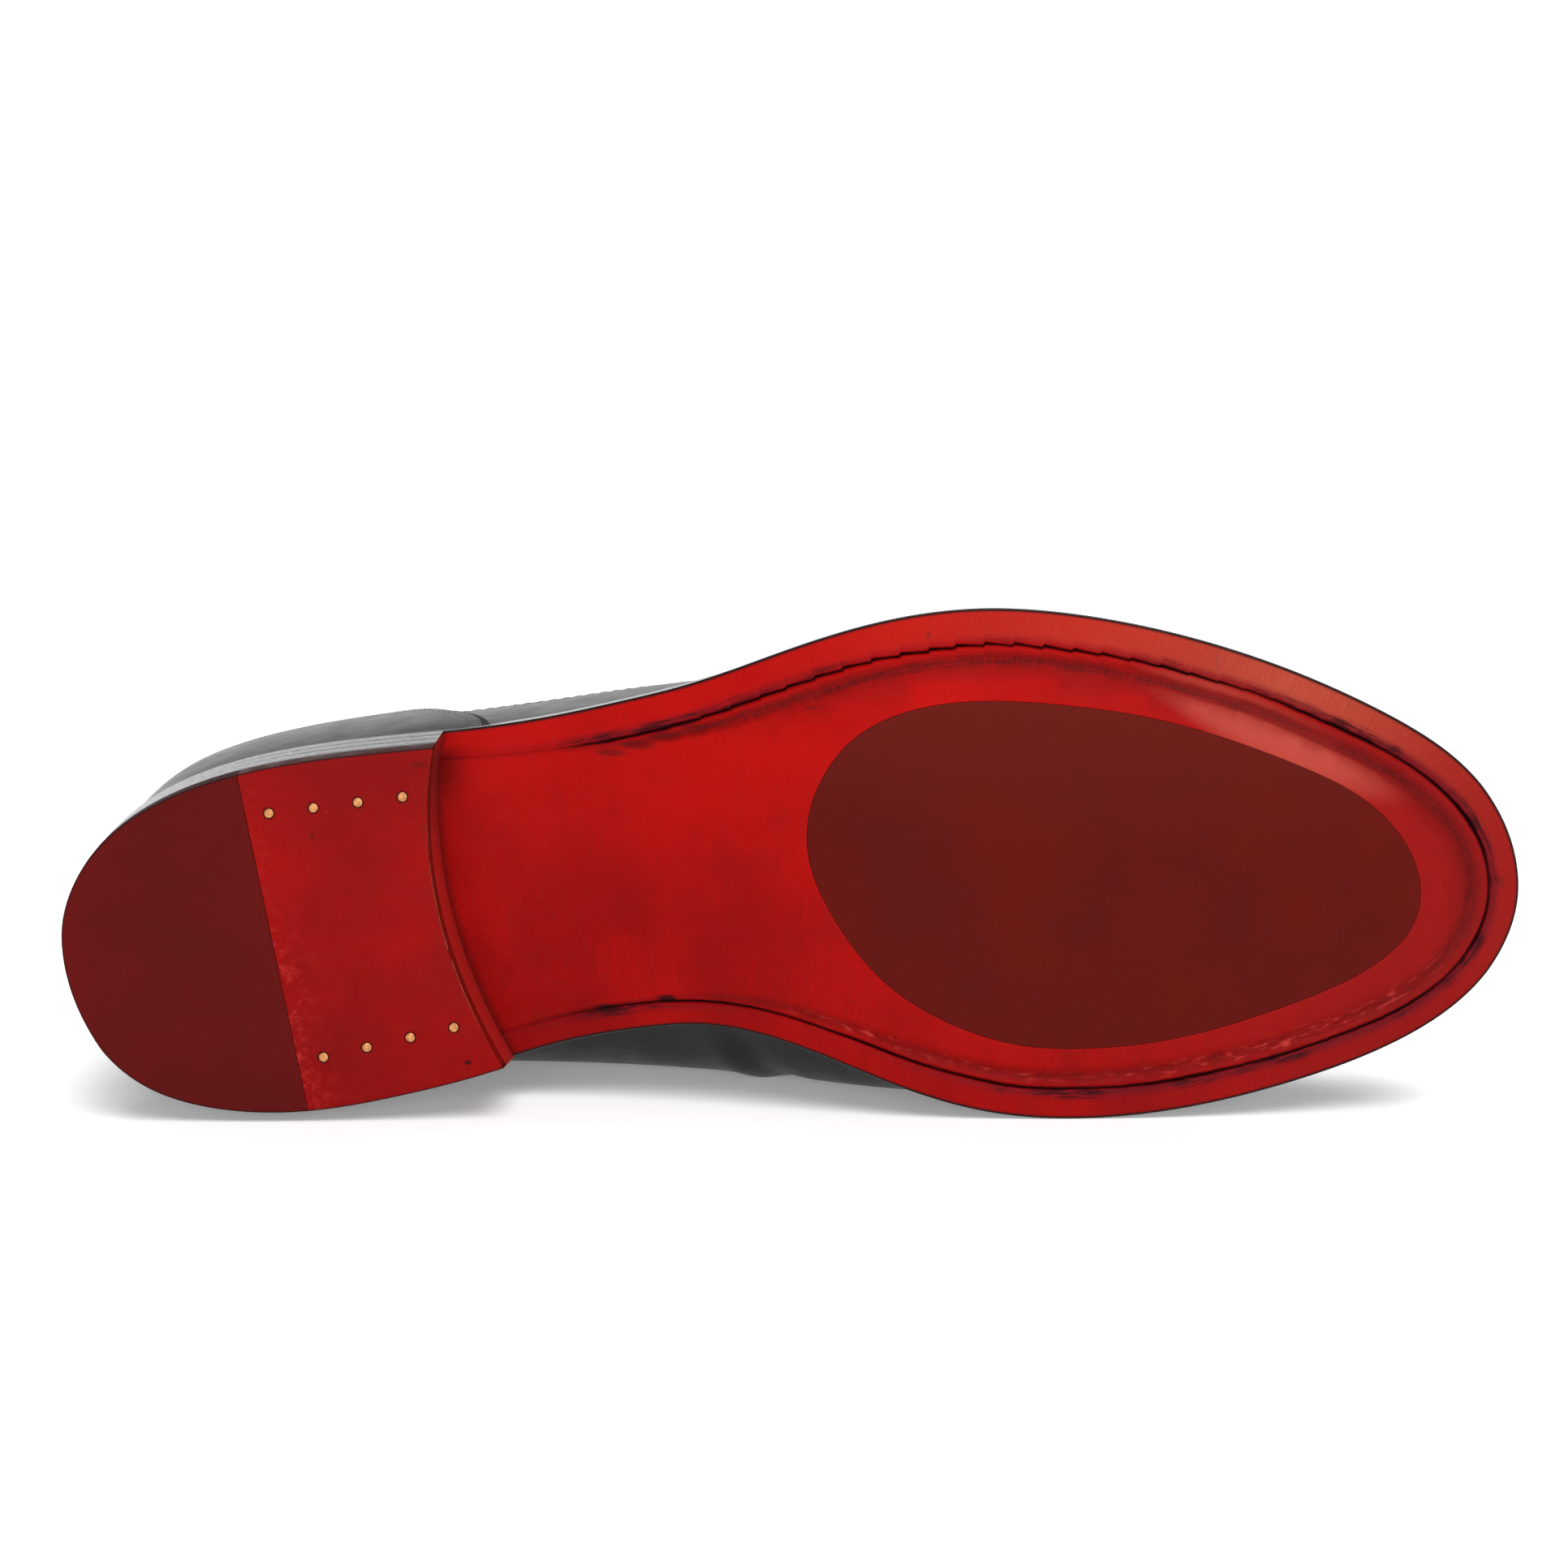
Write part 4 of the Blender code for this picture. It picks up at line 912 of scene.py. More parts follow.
def make_nails():
    """Brass nails with softly rounded heads."""
    surface = Surface()
    around = np.column_stack(circle(NAIL_SIDES)) * NAIL_RADIUS
    for place in nail_places():
        surface.tube(np.array([flat_at(place + around * share, depth) for share, depth in NAIL_PROFILE]))
    add_piece("heel_nails", surface, brass(), NAILS)


def upper_places():
    """Stations of the upper, with more of them where the collar closes at the throat."""
    reach, clear = 18.0, 0.8
    near = THROAT - reach * np.linspace(1.0, 0.0, 22) ** 1.8
    spread = stations(UPPER_BACK, UPPER_TIP, 190)
    return np.sort(np.concatenate([spread[(spread < near[0] - clear) | (spread > THROAT + clear)], near]))


def wall_sheet(name, offset, thickness, reach, material, nodes=()):
    """Shell of the upper between two depths in its wall, open at the collar and underneath."""
    surface = Surface()
    shares = np.linspace(0.0, 1.0, 61) * reach
    x = upper_places()[:, None]
    level = np.where(x >= THROAT, shares / reach, collar_level(x) * shares)
    for side in (OUTER, INNER):
        surface.rows(surface.add(upper_skin(x, side, level, offset)), closed=False)
    thicken(add_piece(name, surface, material, nodes), thickness, INWARD, round_edge=0.45)


def thicken(piece, thickness, offset, round_edge, share=None):
    """Give an open surface its wall, scaled by a painted share of it, and round the wall's edges."""
    wall = piece.modifiers.new("wall", "SOLIDIFY")
    if share:
        group = piece.vertex_groups.new(name=share)
        for vertex, painted in zip(piece.data.vertices, piece.data.attributes[share].data):
            group.add([vertex.index], painted.value, "REPLACE")
        wall.vertex_group = share
    wall.thickness = thickness * MM
    wall.offset = offset
    wall.use_even_offset = True
    bevel = piece.modifiers.new("round", "BEVEL")
    bevel.width = round_edge * MM
    bevel.segments = 3
    bevel.limit_method = "ANGLE"
    bevel.angle_limit = math.radians(50)


def counter_front(share):
    """Front edge of the counter at a share of the wall's height."""
    return COUNTER_FRONT - (COUNTER_FRONT - COUNTER_TOP) * (share / COUNTER_REACH) ** COUNTER_CURVE


def pared(away):
    """Share of the counter's thickness at a share of the pared edge's width."""
    return SKIVE_EDGE + (1 - SKIVE_EDGE) * np.sqrt(1 - (1 - away) ** 2)


def make_counter():
    """Overlay round the heel, pared down to a round edge."""
    surface = Surface("skive", "inset")
    near = np.linspace(1.0, 0.0, 14) ** 1.4
    share = np.concatenate([np.linspace(0.0, 0.9, 50), COUNTER_REACH - 0.05 * near])
    along = np.concatenate([0.93 * np.linspace(0.0, 1.0, 58) ** 1.5, 1 - 0.055 * near])[:, None]
    x = UPPER_BACK + (counter_front(share) - UPPER_BACK) * along
    level = collar_level(x) * share
    away = np.minimum(counter_front(share) - x, (COUNTER_REACH - share) * HALF_GIRTH)
    skive = pared(np.clip(away / SKIVE, 0.0, 1.0))
    for side in (OUTER, INNER):
        skin = upper_skin(x, side, level, 0.02)
        surface.rows(surface.add(skin, skive=skive, inset=away - CUT_EDGE), closed=False)
    piece = add_piece("counter_overlay", surface, black_leather(), ["counter"],
                      edging=cut_edge())
    thicken(piece, COUNTER_THICKNESS, OUTWARD, 0.08, "skive")


def insole_width(side):
    """Half width along x of the upper's foot, which the insole follows."""
    return lambda x: UPPER_WIDTH[side](x) * (1 - UPPER_TUCK[side](x))


def insole_top(x):
    return sole_top(x) + INSOLE_THICKNESS


def make_insole():
    """Sock of the shoe: flat, with a softly rounded edge that meets the lining."""
    surface = Surface()
    widths = {side: insole_width(side) for side in SIDE_NAMES}
    rings = [surface.add(raised(outline(widths, UPPER_BACK, UPPER_TIP, inset, 420), sole_top, lift))
             for inset, lift in INSOLE_EDGE]
    surface.rows(rings)
    surface.fill([rings[0]], sole_top, spacing=8.0)
    surface.fill([rings[-1]], insole_top, spacing=4.0)
    add_piece("insole_sock", surface, tan_leather("insole_tan"), ["insole"])


def tongue_share(x):
    """Half width of the tongue as a share of the last's, closing in a round top."""
    return TONGUE_SHARE * round_end(x, TONGUE_TAPER, TONGUE_TOP, TONGUE_ROUND)


def tongue_face(x, side, level):
    """Points of the tongue's face under the upper's wall, and their outward directions."""
    normals = upper_normals(x, side, level)
    return upper_points(x, side, level) - normals * TONGUE_DEPTH, normals


def make_tongue():
    """Tongue that rises in the collar."""
    surface = Surface()
    x = (TONGUE_TOP + (TONGUE_FOOT - TONGUE_TOP) * np.linspace(0.0, 1.0, 60) ** 1.6)[:, None]
    edge = level_at_share(tongue_share(x))
    level = edge + (1 - edge) * np.linspace(0.0, 1.0, 24)
    for side in (OUTER, INNER):
        surface.rows(surface.add(tongue_face(x, side, level)[0]), closed=False)
    piece = add_piece("tongue_leather", surface, black_leather(), ["tongue"])
    thicken(piece, TONGUE_THICKNESS, INWARD, round_edge=0.5)


def frames_along(path, normals):
    """Tangents, sideways and upright directions of a path that lies on a surface."""
    tangents = unit(np.gradient(path, axis=0))
    across = unit(np.cross(normals, tangents))
    return tangents, across, unit(np.cross(tangents, across))


def sweep(surface, path, normals, widths, heights, sides=10):
    """Closed round tube along a path on a surface, with its half width and half height along the way."""
    _, across, up = frames_along(path, normals)
    cos, sin = circle(sides)
    around = (cos[:, None] * across[:, None] * np.reshape(widths, (-1, 1, 1))
              + sin[:, None] * up[:, None] * np.reshape(heights, (-1, 1, 1)))
    surface.tube(path[:, None] + around)


def even_path(path, normals, spacing):
    """Path and normals with points a spacing apart."""
    run = run_along(path)
    places = np.linspace(0.0, run[-1], max(int(run[-1] / spacing), 2) + 1)
    return at_places(places, run, path), unit(at_places(places, run, normals))


def apron_route():
    """Middle line of the raised seam round the toe on the upper's face, with its normals."""
    x = APRON_START + (APRON_FRONT - APRON_START) * np.sin(np.linspace(0.0, math.pi / 2, 160))
    level = level_at_share(APRON_SHARE * round_end(x, APRON_BEND, APRON_FRONT, APRON_ROUND))
    halves = [on_upper(x, side, level) for side in (OUTER, INNER)]
    return [np.vstack([outer, inner[-2::-1]]) for outer, inner in zip(*halves)]


def make_apron_seam():
    """Raised seam, drawn in at each of its stitches."""
    surface = Surface()
    path, normals = even_path(*apron_route(), SEAM_STEP)
    place = np.arange(len(path)) * SEAM_STEP
    ends = smooth(np.minimum(place, place[::-1]) / SEAM_ENDS)
    pinch = 1 - 0.16 * np.abs(np.cos(math.pi * place / SEAM_PITCH)) ** 6
    size = SEAM_RADIUS * (0.35 + 0.65 * ends) * pinch
    sweep(surface, path + normals * (0.75 * size)[:, None], normals, size * 1.15, size * 1.05, sides=12)
    add_piece("apron_ridge", surface, black_leather(), ["apron_seam"])


def stitches(surface, path, normals, length, spacing, radius, lift):
    """Row of single stitches along a path, each sinking into the leather at both ends."""
    points, outs = even_path(path, normals, spacing)
    tangents, across, up = frames_along(points, outs)
    along = np.linspace(-0.5, 0.5, 6)
    cos, sin = circle(6)
    sink = (2 * along) ** 4
    thick = radius * np.sqrt(1.02 - sink)
    hump = lift - 1.2 * radius * sink
    middle = points[:, None] + tangents[:, None] * (along * length)[:, None] + up[:, None] * hump[:, None]
    ring = (cos[:, None] * across[:, None, None] + sin[:, None] * up[:, None, None]) * thick[:, None, None]
    for rings in middle[:, :, None] + ring:
        surface.tube(rings)


def collar_row(side, distance):
    """Line on the upper's face at a distance below the collar's edge, with its normals."""
    x, step = np.linspace(4.0, THROAT - 0.6, 260), 0.01
    level = collar_level(x)
    reach = np.linalg.norm(upper_points(x, side, level) - upper_points(x, side, level - step), axis=1)
    return on_upper(x, side, level - distance * step / reach)


def counter_row(side, distance):
    """Line on the counter's face at a distance behind its front edge, with its normals."""
    share = np.linspace(0.02, 0.95, 200)
    slope = np.gradient(counter_front(share), share * HALF_GIRTH)
    length = np.sqrt(1 + slope ** 2)
    x = counter_front(share) - distance / length
    level = collar_level(x) * (share + distance * slope / length / HALF_GIRTH)
    return on_upper(x, side, level, COUNTER_THICKNESS * pared(min(distance / SKIVE, 1.0)))


def tongue_row(side, distance):
    """Line on the tongue's face at a distance inside its edge, with its normals."""
    x = TONGUE_TOP + (THROAT - TONGUE_TOP) * np.linspace(0.0, 1.0, 160) ** 2
    edge = np.column_stack([x, tongue_share(x) * UPPER_WIDTH[side](x)])
    ahead = unit(np.gradient(edge, axis=0))
    x, y = edge[:, 0] + distance * ahead[:, 1], edge[:, 1] - distance * ahead[:, 0]
    x, y = x[y > 0], y[y > 0]
    return tongue_face(x, side, level_at_share(y / UPPER_WIDTH[side](x)))


def make_stitches():
    """Stitch rows along the collar, the counter and the tongue, and across the raised seam."""
    surface = Surface()
    for side in (OUTER, INNER):
        rows = [row(side, distance) for row in (collar_row, counter_row) for distance in (ROW_NEAR, ROW_FAR)]
        for path, normals in rows + [tongue_row(side, ROW_NEAR)]:
            stitches(surface, path, normals, *UPPER_STITCH)
    path, normals = even_path(*apron_route(), SEAM_PITCH)
    across = frames_along(path, normals)[1]
    arc = np.linspace(-1.0, 1.0, 9)[:, None]
    rise = 0.1 + WRAP_HEIGHT * (1 - arc ** 2) ** 0.7
    for centre, out, way in zip(path[1:-1], normals[1:-1], across[1:-1]):
        over = centre + way * (arc * WRAP_HALF) + out * rise
        ahead = np.broadcast_to(np.cross(way, out), over.shape)
        sweep(surface, over, ahead, WRAP_RADIUS, WRAP_RADIUS, sides=6)
    add_piece("upper_stitches", surface, thread(UPPER_THREAD))


def make_welt_stitches():
    """Stitches on the sole's upper face round the forefoot."""
    surface = Surface()
    loop, inward, _ = sole_edge()
    plan = (loop + inward * WELT_INSET)[loop[:, 0] > WELT_START]
    path = raised(plan, sole_top)
    stitches(surface, path, np.broadcast_to((0.0, 0.0, 1.0), path.shape), *WELT_STITCH)
    add_piece("welt_stitches", surface, thread(WELT_THREAD))


def vamp_frame(x, share):
    """Point and outward direction on the vamp at a signed share of the half width."""
    side = OUTER if share < 0 else INNER
    level = level_at_share(abs(share))
    return upper_points(x, side, level), upper_normals(x, side, level)


def make_knot():
    """Knot of the bow: a flat thong wound round itself."""
    surface = Surface()
    length, width, height = KNOT_SIZE
    place, normal = vamp_frame(KNOT_PLACE, 0.0)
    across = np.array((0.0, 1.0, 0.0))
    ahead = np.cross(across, normal)
    centre = place + normal * (height / 2 + GAP / 2)
    share = np.linspace(-1.0, 1.0, 73)[:, None]
    cos, sin = circle(40)
    lobe = 0.8 + 0.2 * np.abs(np.cos(math.pi * KNOT_TURNS / 2 * share + 0.12 * sin)) ** 0.45
    size = np.sqrt(np.maximum(1 - share ** 4, 0.0)) * lobe + 0.02
    surface.tube(centre + across * (share * width / 2)[..., None]
                 + ahead * (size * cos * length / 2)[..., None]
                 + normal * (size * sin * height / 2)[..., None])
    add_piece("bow_knot", surface, black_leather(), ["tie_knot"], sharp=60.0)


def add_thong(surface, end, ahead, up):
    """Flat thong from the knot to the head of a tassel."""
    place, normal = vamp_frame(KNOT_PLACE, 0.0)
    knot = place + normal * (KNOT_SIZE[2] / 2) + ahead * THONG_START
    share = np.linspace(0.0, 1.0, 16)[:, None]
    thong = knot * (1 - share) + end * share + up * np.sin(math.pi * share) * THONG_ARCH
    sweep(surface, thong, np.broadcast_to(up, thong.shape), THONG_HALF, THONG_HEIGHT)


def add_head(surface, start, axis, side, up):
    """Head of a tassel, wound with turns of the thong."""
    cos, sin = circle(36)
    ring = cos[:, None] * side + sin[:, None] * up
    along = np.linspace(0.0, 1.0, 40)[:, None]
    coil = COIL_HEIGHT * np.abs(np.sin(COIL_TURNS * math.pi * along)) ** 0.5
    coil = HEAD_RADIUS + HEAD_GROWTH * along + coil
    coil = coil * np.sqrt(np.clip(1 - (1 - np.clip(along / HEAD_ROUND, 0, 1)) ** 2, 0.05, 1.0))
    middle = start + axis * (HEAD_START + HEAD_LENGTH * along)
    surface.tube(middle[:, None] + ring * coil[:, None])


def add_fringe(surface, start, axis, side, up, seed):
    """Layers of leather strips that hang from the head of a tassel."""
    random = np.random.default_rng(seed)
    ahead = unit(axis)
    t = np.linspace(0.0, 1.0, 12)[:, None]
    for row in named_rows(FRINGE_COLUMNS, FRINGE):
        count, inward = row["count"], row["inward"]
        half = row["width"] * (0.55 + 0.45 * t)
        for i in range(count):
            turn = 2 * math.pi * (i + FRINGE_SHIFT * random.uniform(-1, 1) * (inward > 0)) / count
            sway, cut = random.uniform(*FRINGE_SWAY), random.uniform(*FRINGE_CUT)
            spread = turn + sway * t ** 2
            out = np.cos(spread) * side + np.sin(spread) * up
            reach = FRINGE_RADIUS + FRINGE_FLARE * t ** 0.8 - inward * t + random.uniform(*FRINGE_STRAY) * t
            path = start + axis * (FRINGE_START + (1 - FRINGE_START + cut) * t) + out * reach
            across = np.cross(out, ahead)
            surface.tube(np.stack([path + across * half * a + out * b for a, b in STRIP_SECTION], axis=1))


def make_tassel(name, start_x, start_share, end_x, end_share, seed):
    """Thong, wound head and fringe of separate leather strips."""
    surface = Surface()
    start_place, start_normal = vamp_frame(start_x, start_share)
    end_place, end_normal = vamp_frame(end_x, end_share)
    start = start_place + start_normal * TASSEL_LIFT
    axis = end_place + end_normal * TASSEL_TIP_LIFT - start
    ahead = unit(axis)
    side = unit(np.cross(ahead, start_normal))
    up = np.cross(side, ahead)
    add_thong(surface, start + axis * THONG_END, ahead, up)
    add_head(surface, start, axis, side, up)
    add_fringe(surface, start, axis, side, up, seed)
    add_piece(name + "_fringe", surface, black_leather(), [name], sharp=35.0)


def srgb(name):
    """Linear colour of a named display colour."""
    values = np.array(COLOURS[name]) / 255
    return (*np.where(values <= 0.04045, values / 12.92, ((values + 0.055) / 1.055) ** 2.4).tolist(), 1.0)


class Finish:
    """Node material that is put together step by step."""

    def __init__(self, name, **constants):
        self.material = bpy.data.materials.new(name)
        self.material.use_nodes = True
        self.tree = self.material.node_tree
        self.shader = self.tree.nodes["Principled BSDF"]
        self.place = self.add("ShaderNodeTexCoord").outputs["Object"]
        for socket, value in constants.items():
            self.shader.inputs[socket.replace("_", " ")].default_value = value

    def add(self, kind, **settings):
        node = self.tree.nodes.new(kind)
        for name, value in settings.items():
            setattr(node, name, value)
        return node

    def feed(self, socket, value):
        if isinstance(value, bpy.types.NodeSocket):
            self.tree.links.new(value, socket)
        else:
            socket.default_value = value

    def noise(self, size, detail=3.0, roughness=0.55, vector=None):
        """Cloudy pattern with lumps of a size in millimetres."""
        node = self.add("ShaderNodeTexNoise")
        self.feed(node.inputs["Vector"], vector or self.place)
        node.inputs["Scale"].default_value = 1 / (size * MM) if vector is None else 1 / size
        node.inputs["Detail"].default_value = detail
        node.inputs["Roughness"].default_value = roughness
        return node.outputs["Fac"]

    def cells(self, size):
        """Distance from the edges of leather cells of a size in millimetres."""
        node = self.add("ShaderNodeTexVoronoi", feature="DISTANCE_TO_EDGE")
        self.feed(node.inputs["Vector"], self.place)
        node.inputs["Scale"].default_value = 1 / (size * MM)
        return node.outputs["Distance"]

    def stretched(self, along, across, up):
        """Place divided by a length in millimetres each way."""
        node = self.add("ShaderNodeVectorMath", operation="DIVIDE")
        self.feed(node.inputs[0], self.place)
        self.feed(node.inputs[1], (along * MM, across * MM, up * MM))
        return node.outputs["Vector"]

    def axes(self):
        """Place along, across and up the lying shoe, in metres."""
        node = self.add("ShaderNodeSeparateXYZ")
        self.feed(node.inputs["Vector"], self.place)
        return node.outputs

    def reach(self, start, way):
        """Distance in millimetres from a point of the shoe's own frame, along a direction there."""
        turned = TURN @ np.array(way) / MM
        node = self.add("ShaderNodeVectorMath", operation="DOT_PRODUCT")
        self.feed(node.inputs[0], self.place)
        self.feed(node.inputs[1], turned.tolist())
        return self.math("SUBTRACT", node.outputs["Value"], float(turned @ in_part(start)))

    def spots(self):
        """Strength of the small dark marks."""
        strength = 0.0
        for row in named_rows(SPOT_COLUMNS, SPOTS):
            away = self.add("ShaderNodeVectorMath", operation="SUBTRACT")
            self.feed(away.inputs[0], self.place)
            self.feed(away.inputs[1], in_part((row["x"], row["y"], underside(row["x"]))).tolist())
            scaled = self.add("ShaderNodeVectorMath", operation="DIVIDE")
            self.feed(scaled.inputs[0], away.outputs["Vector"])
            self.feed(scaled.inputs[1], (row["half_x"] * MM, 1.0, row["half_y"] * MM))
            length = self.add("ShaderNodeVectorMath", operation="LENGTH")
            self.feed(length.inputs[0], scaled.outputs["Vector"])
            strength = self.math("MAXIMUM", self.span(length.outputs["Value"], 1.5, 0.5), strength)
        return strength

    def mask(self, name):
        return self.add("ShaderNodeAttribute", attribute_name=name).outputs["Fac"]

    def drawn(self, along, across, detail, roughness, masks=("run", "inset")):
        """Cloudy pattern over two painted values, with lumps of a size along the first and the second."""
        node = self.add("ShaderNodeCombineXYZ")
        for socket, name, length in zip(("X", "Y"), masks, (along, across)):
            self.feed(node.inputs[socket], self.math("DIVIDE", self.mask(name), length))
        return self.noise(1.0, detail, roughness, node.outputs["Vector"])

    def math(self, operation, first, second=0.0):
        node = self.add("ShaderNodeMath", operation=operation)
        self.feed(node.inputs[0], first)
        self.feed(node.inputs[1], second)
        return node.outputs["Value"]

    def times(self, first, *others):
        for other in others:
            first = self.math("MULTIPLY", first, other)
        return first

    def span(self, value, low, high, start=0.0, end=1.0):
        """Value between low and high carried over to start and end, and held beyond them."""
        node = self.add("ShaderNodeMapRange", interpolation_type="SMOOTHSTEP")
        for socket, given in zip(node.inputs, (value, low, high, start, end)):
            self.feed(socket, given)
        return node.outputs["Result"]

    def spread(self, noise, start, end):
        """Cloudy pattern carried over to values between start and end."""
        return self.span(noise, NOISE_LOW, NOISE_HIGH, start, end)

    def shades(self, noise, dark, light, low=NOISE_LOW, high=NOISE_HIGH):
        """Start the colour with two shades that follow a cloudy pattern."""
        self.colour = self.mix(self.span(noise, low, high), srgb(dark), srgb(light))

    def tint(self, strength, name):
        """Lay a named colour over the colour so far."""
        self.colour = self.mix(strength, self.colour, srgb(name))

    def mix(self, factor, first, second):
        node = self.add("ShaderNodeMix", data_type="RGBA")
        for socket, given in zip((node.inputs[0], node.inputs[6], node.inputs[7]), (factor, first, second)):
            self.feed(socket, given)
        return node.outputs[2]

    def bump(self, height, depth, normal=None):
        """Bump of a depth in millimetres."""
        node = self.add("ShaderNodeBump")
        node.inputs["Strength"].default_value = 1.0
        node.inputs["Distance"].default_value = depth * MM
        self.feed(node.inputs["Height"], height)
        if normal is not None:
            self.feed(node.inputs["Normal"], normal)
        return node.outputs["Normal"]

    def finish(self, roughness, normal):
        for socket, value in (("Base Color", self.colour), ("Roughness", roughness), ("Normal", normal)):
            self.feed(self.shader.inputs[socket], value)
        return self.material


def once(make):
    """Make a material on its first use and hand out the same one afterwards."""
    made = {}

    def give(*given):
        if given not in made:
            made[given] = make(*given)
        return made[given]

    return give


def red_ground(finish):
    """Hand-dyed red of the sole: cloudy, with darker patches, fine pores and a few specks. Painted light
    makes it lighter towards the upper side, and it darkens towards the toe.
    """
    fine = finish.noise(0.9, 4.0, 0.65)
    brushed = finish.noise(1.0, 4.0, 0.6, finish.stretched(0.35, 3.0, 7.0))
    finish.shades(finish.noise(30.0, 4.0), "red_dark", "red", 0.36, 0.64)
    finish.tint(finish.span(finish.noise(11.0, 4.0), 0.45, 0.75, 0.0, 0.32), "red_patch")
    finish.tint(finish.span(fine, 0.5, 0.8, 0.0, 0.4), "red_pore")
    finish.tint(finish.span(brushed, 0.45, 0.7, 0.0, 0.35), "red_brushed")
    finish.tint(finish.span(finish.noise(1.6, 2.0), 0.76, 0.8, 0.0, 0.6), "red_speck")
    finish.tint(finish.times(finish.spots(), finish.span(fine, 0.25, 0.45, 0.5, 1.0)), "red_mark")
    along, _, up = finish.axes()
    # Painted light: the red grows lighter towards the side that faces up
    finish.tint(finish.span(up, 0.02, 0.085, 0.0, 0.36), "red_lit")
    finish.tint(finish.span(along, 0.03, 0.12, 0.0, 0.7), "red_toe")


def leather_bump(finish, pore, depth):
    grain = finish.span(finish.cells(pore), 0.0, 0.25)
    lumps = finish.bump(finish.noise(9.0, 3.0), 0.25)
    return finish.bump(grain, depth, lumps)


def breast_corner_shade(finish):
    """Strength of the painted shade in the corner between the heel's front and the waist, wider near the
    outer side.
    """
    inner, outer = float(SOLE_WIDTH[INNER](BREAST_INNER)), float(SOLE_WIDTH[OUTER](BREAST_OUTER))
    corner = (BREAST_INNER, inner, 0.0)
    share = finish.math("DIVIDE", finish.reach(corner, (0.0, -1.0, 0.0)), inner + outer)
    sag = finish.times(share, finish.math("SUBTRACT", 1.0, share), 4 * BREAST_SAG)
    hollow = finish.math("ADD", finish.times(share, BREAST_INNER - BREAST_OUTER), sag)
    ahead = finish.math("ADD", finish.reach(corner, (1.0, 0.0, 0.0)), hollow)
    wide = finish.times(finish.span(ahead, 6.5, 0.4, 0.0, 0.6), finish.span(share, 0.72, 0.88),
                        finish.span(share, 0.97, 0.92))
    return finish.math("MAXIMUM", finish.span(ahead, 1.6, 0.1, 0.0, 0.4), wide)


def toe_sheen(finish):
    """Strength of the pale sheen, a painted highlight, on the leather beside the oval's outer front."""
    cos, sin = math.cos(SHEEN_LEAN), math.sin(SHEEN_LEAN)
    along = finish.math("DIVIDE", finish.reach(SHEEN_PLACE, (cos, sin, 0.0)), SHEEN_LENGTH)
    across = finish.math("DIVIDE", finish.reach(SHEEN_PLACE, (-sin, cos, 0.0)), SHEEN_HALF)
    far = finish.math("ADD", finish.times(along, along), finish.times(across, across))
    return finish.span(far, 1.3, 0.0)


@once
def red_leather():
    finish = Finish("sole_red", Specular_IOR_Level=0.04)
    streaks = finish.drawn(9.0, 0.5, 3.0, 0.6)
    brush = finish.drawn(0.4, 4.0, 3.0, 0.65)
    crinkle = finish.drawn(3.2, 0.8, 3.0, 0.5)
    smear = finish.drawn(6.0, 0.55, 5.0, 0.7)
    valley, gloss, margin = [finish.mask(name) for name in ("valley", "gloss", "margin")]
    pale = finish.span(brush, 0.2, 0.8, 0.5, 0.8)
    shine = finish.times(gloss, finish.span(crinkle, 0.5, 0.7))
    grime = finish.times(finish.mask("grime"), finish.span(smear, 0.38, 0.55))
    red_ground(finish)
    # Painted shade in the corner under the heel's front
    finish.tint(breast_corner_shade(finish), "corner")
    # Dark channel valley: partly stain, partly painted shade in the recess
    finish.tint(finish.times(valley, finish.span(streaks, 0.3, 0.6, 0.6, 1.0),
                             finish.span(brush, 0.35, 0.65, 0.7, 1.0)), "valley")
    finish.tint(finish.times(finish.mask("rubbed"), pale), "rubbed")
    # Painted highlight on the leather beside the oval's outer front
    finish.tint(finish.times(toe_sheen(finish), finish.span(valley, 0.8, 0.2, 0.1, 1.0), pale), "sheen")
    # Painted shade in the hollows of the crinkled puckers
    finish.tint(finish.times(gloss, finish.span(crinkle, 0.48, 0.34, 0.0, 0.5)), "fold")
    # Painted glints on the crests of the crinkled puckers, which are also made smoother
    finish.tint(finish.span(shine, 0.0, 0.9, 0.0, 0.7), "shine")
    finish.tint(finish.times(finish.mask("stain"), finish.span(smear, 0.25, 0.6, 0.4, 0.85)), "stain")
    finish.tint(finish.span(grime, 0.1, 0.8, 0.0, 0.85), "grime")
    # Painted shade in the gaping slit of the stitch channel
    finish.tint(finish.span(finish.mask("slit"), 0.1, 0.7, 0.0, 0.95), "slit")
    finish.tint(finish.span(finish.mask("inset"), 0.85, 0.15), "sole_rim")
    roughness = finish.spread(finish.noise(4.0, 4.0), 0.4, 0.56)
    normal = leather_bump(finish, 0.5, 0.012)
    for strength, pattern, depth in ((margin, streaks, 0.02), (margin, brush, 0.012), (gloss, crinkle, 0.22)):
        normal = finish.bump(finish.times(strength, pattern), depth, normal)
    return finish.finish(finish.math("SUBTRACT", roughness, finish.times(shine, 0.2)), normal)


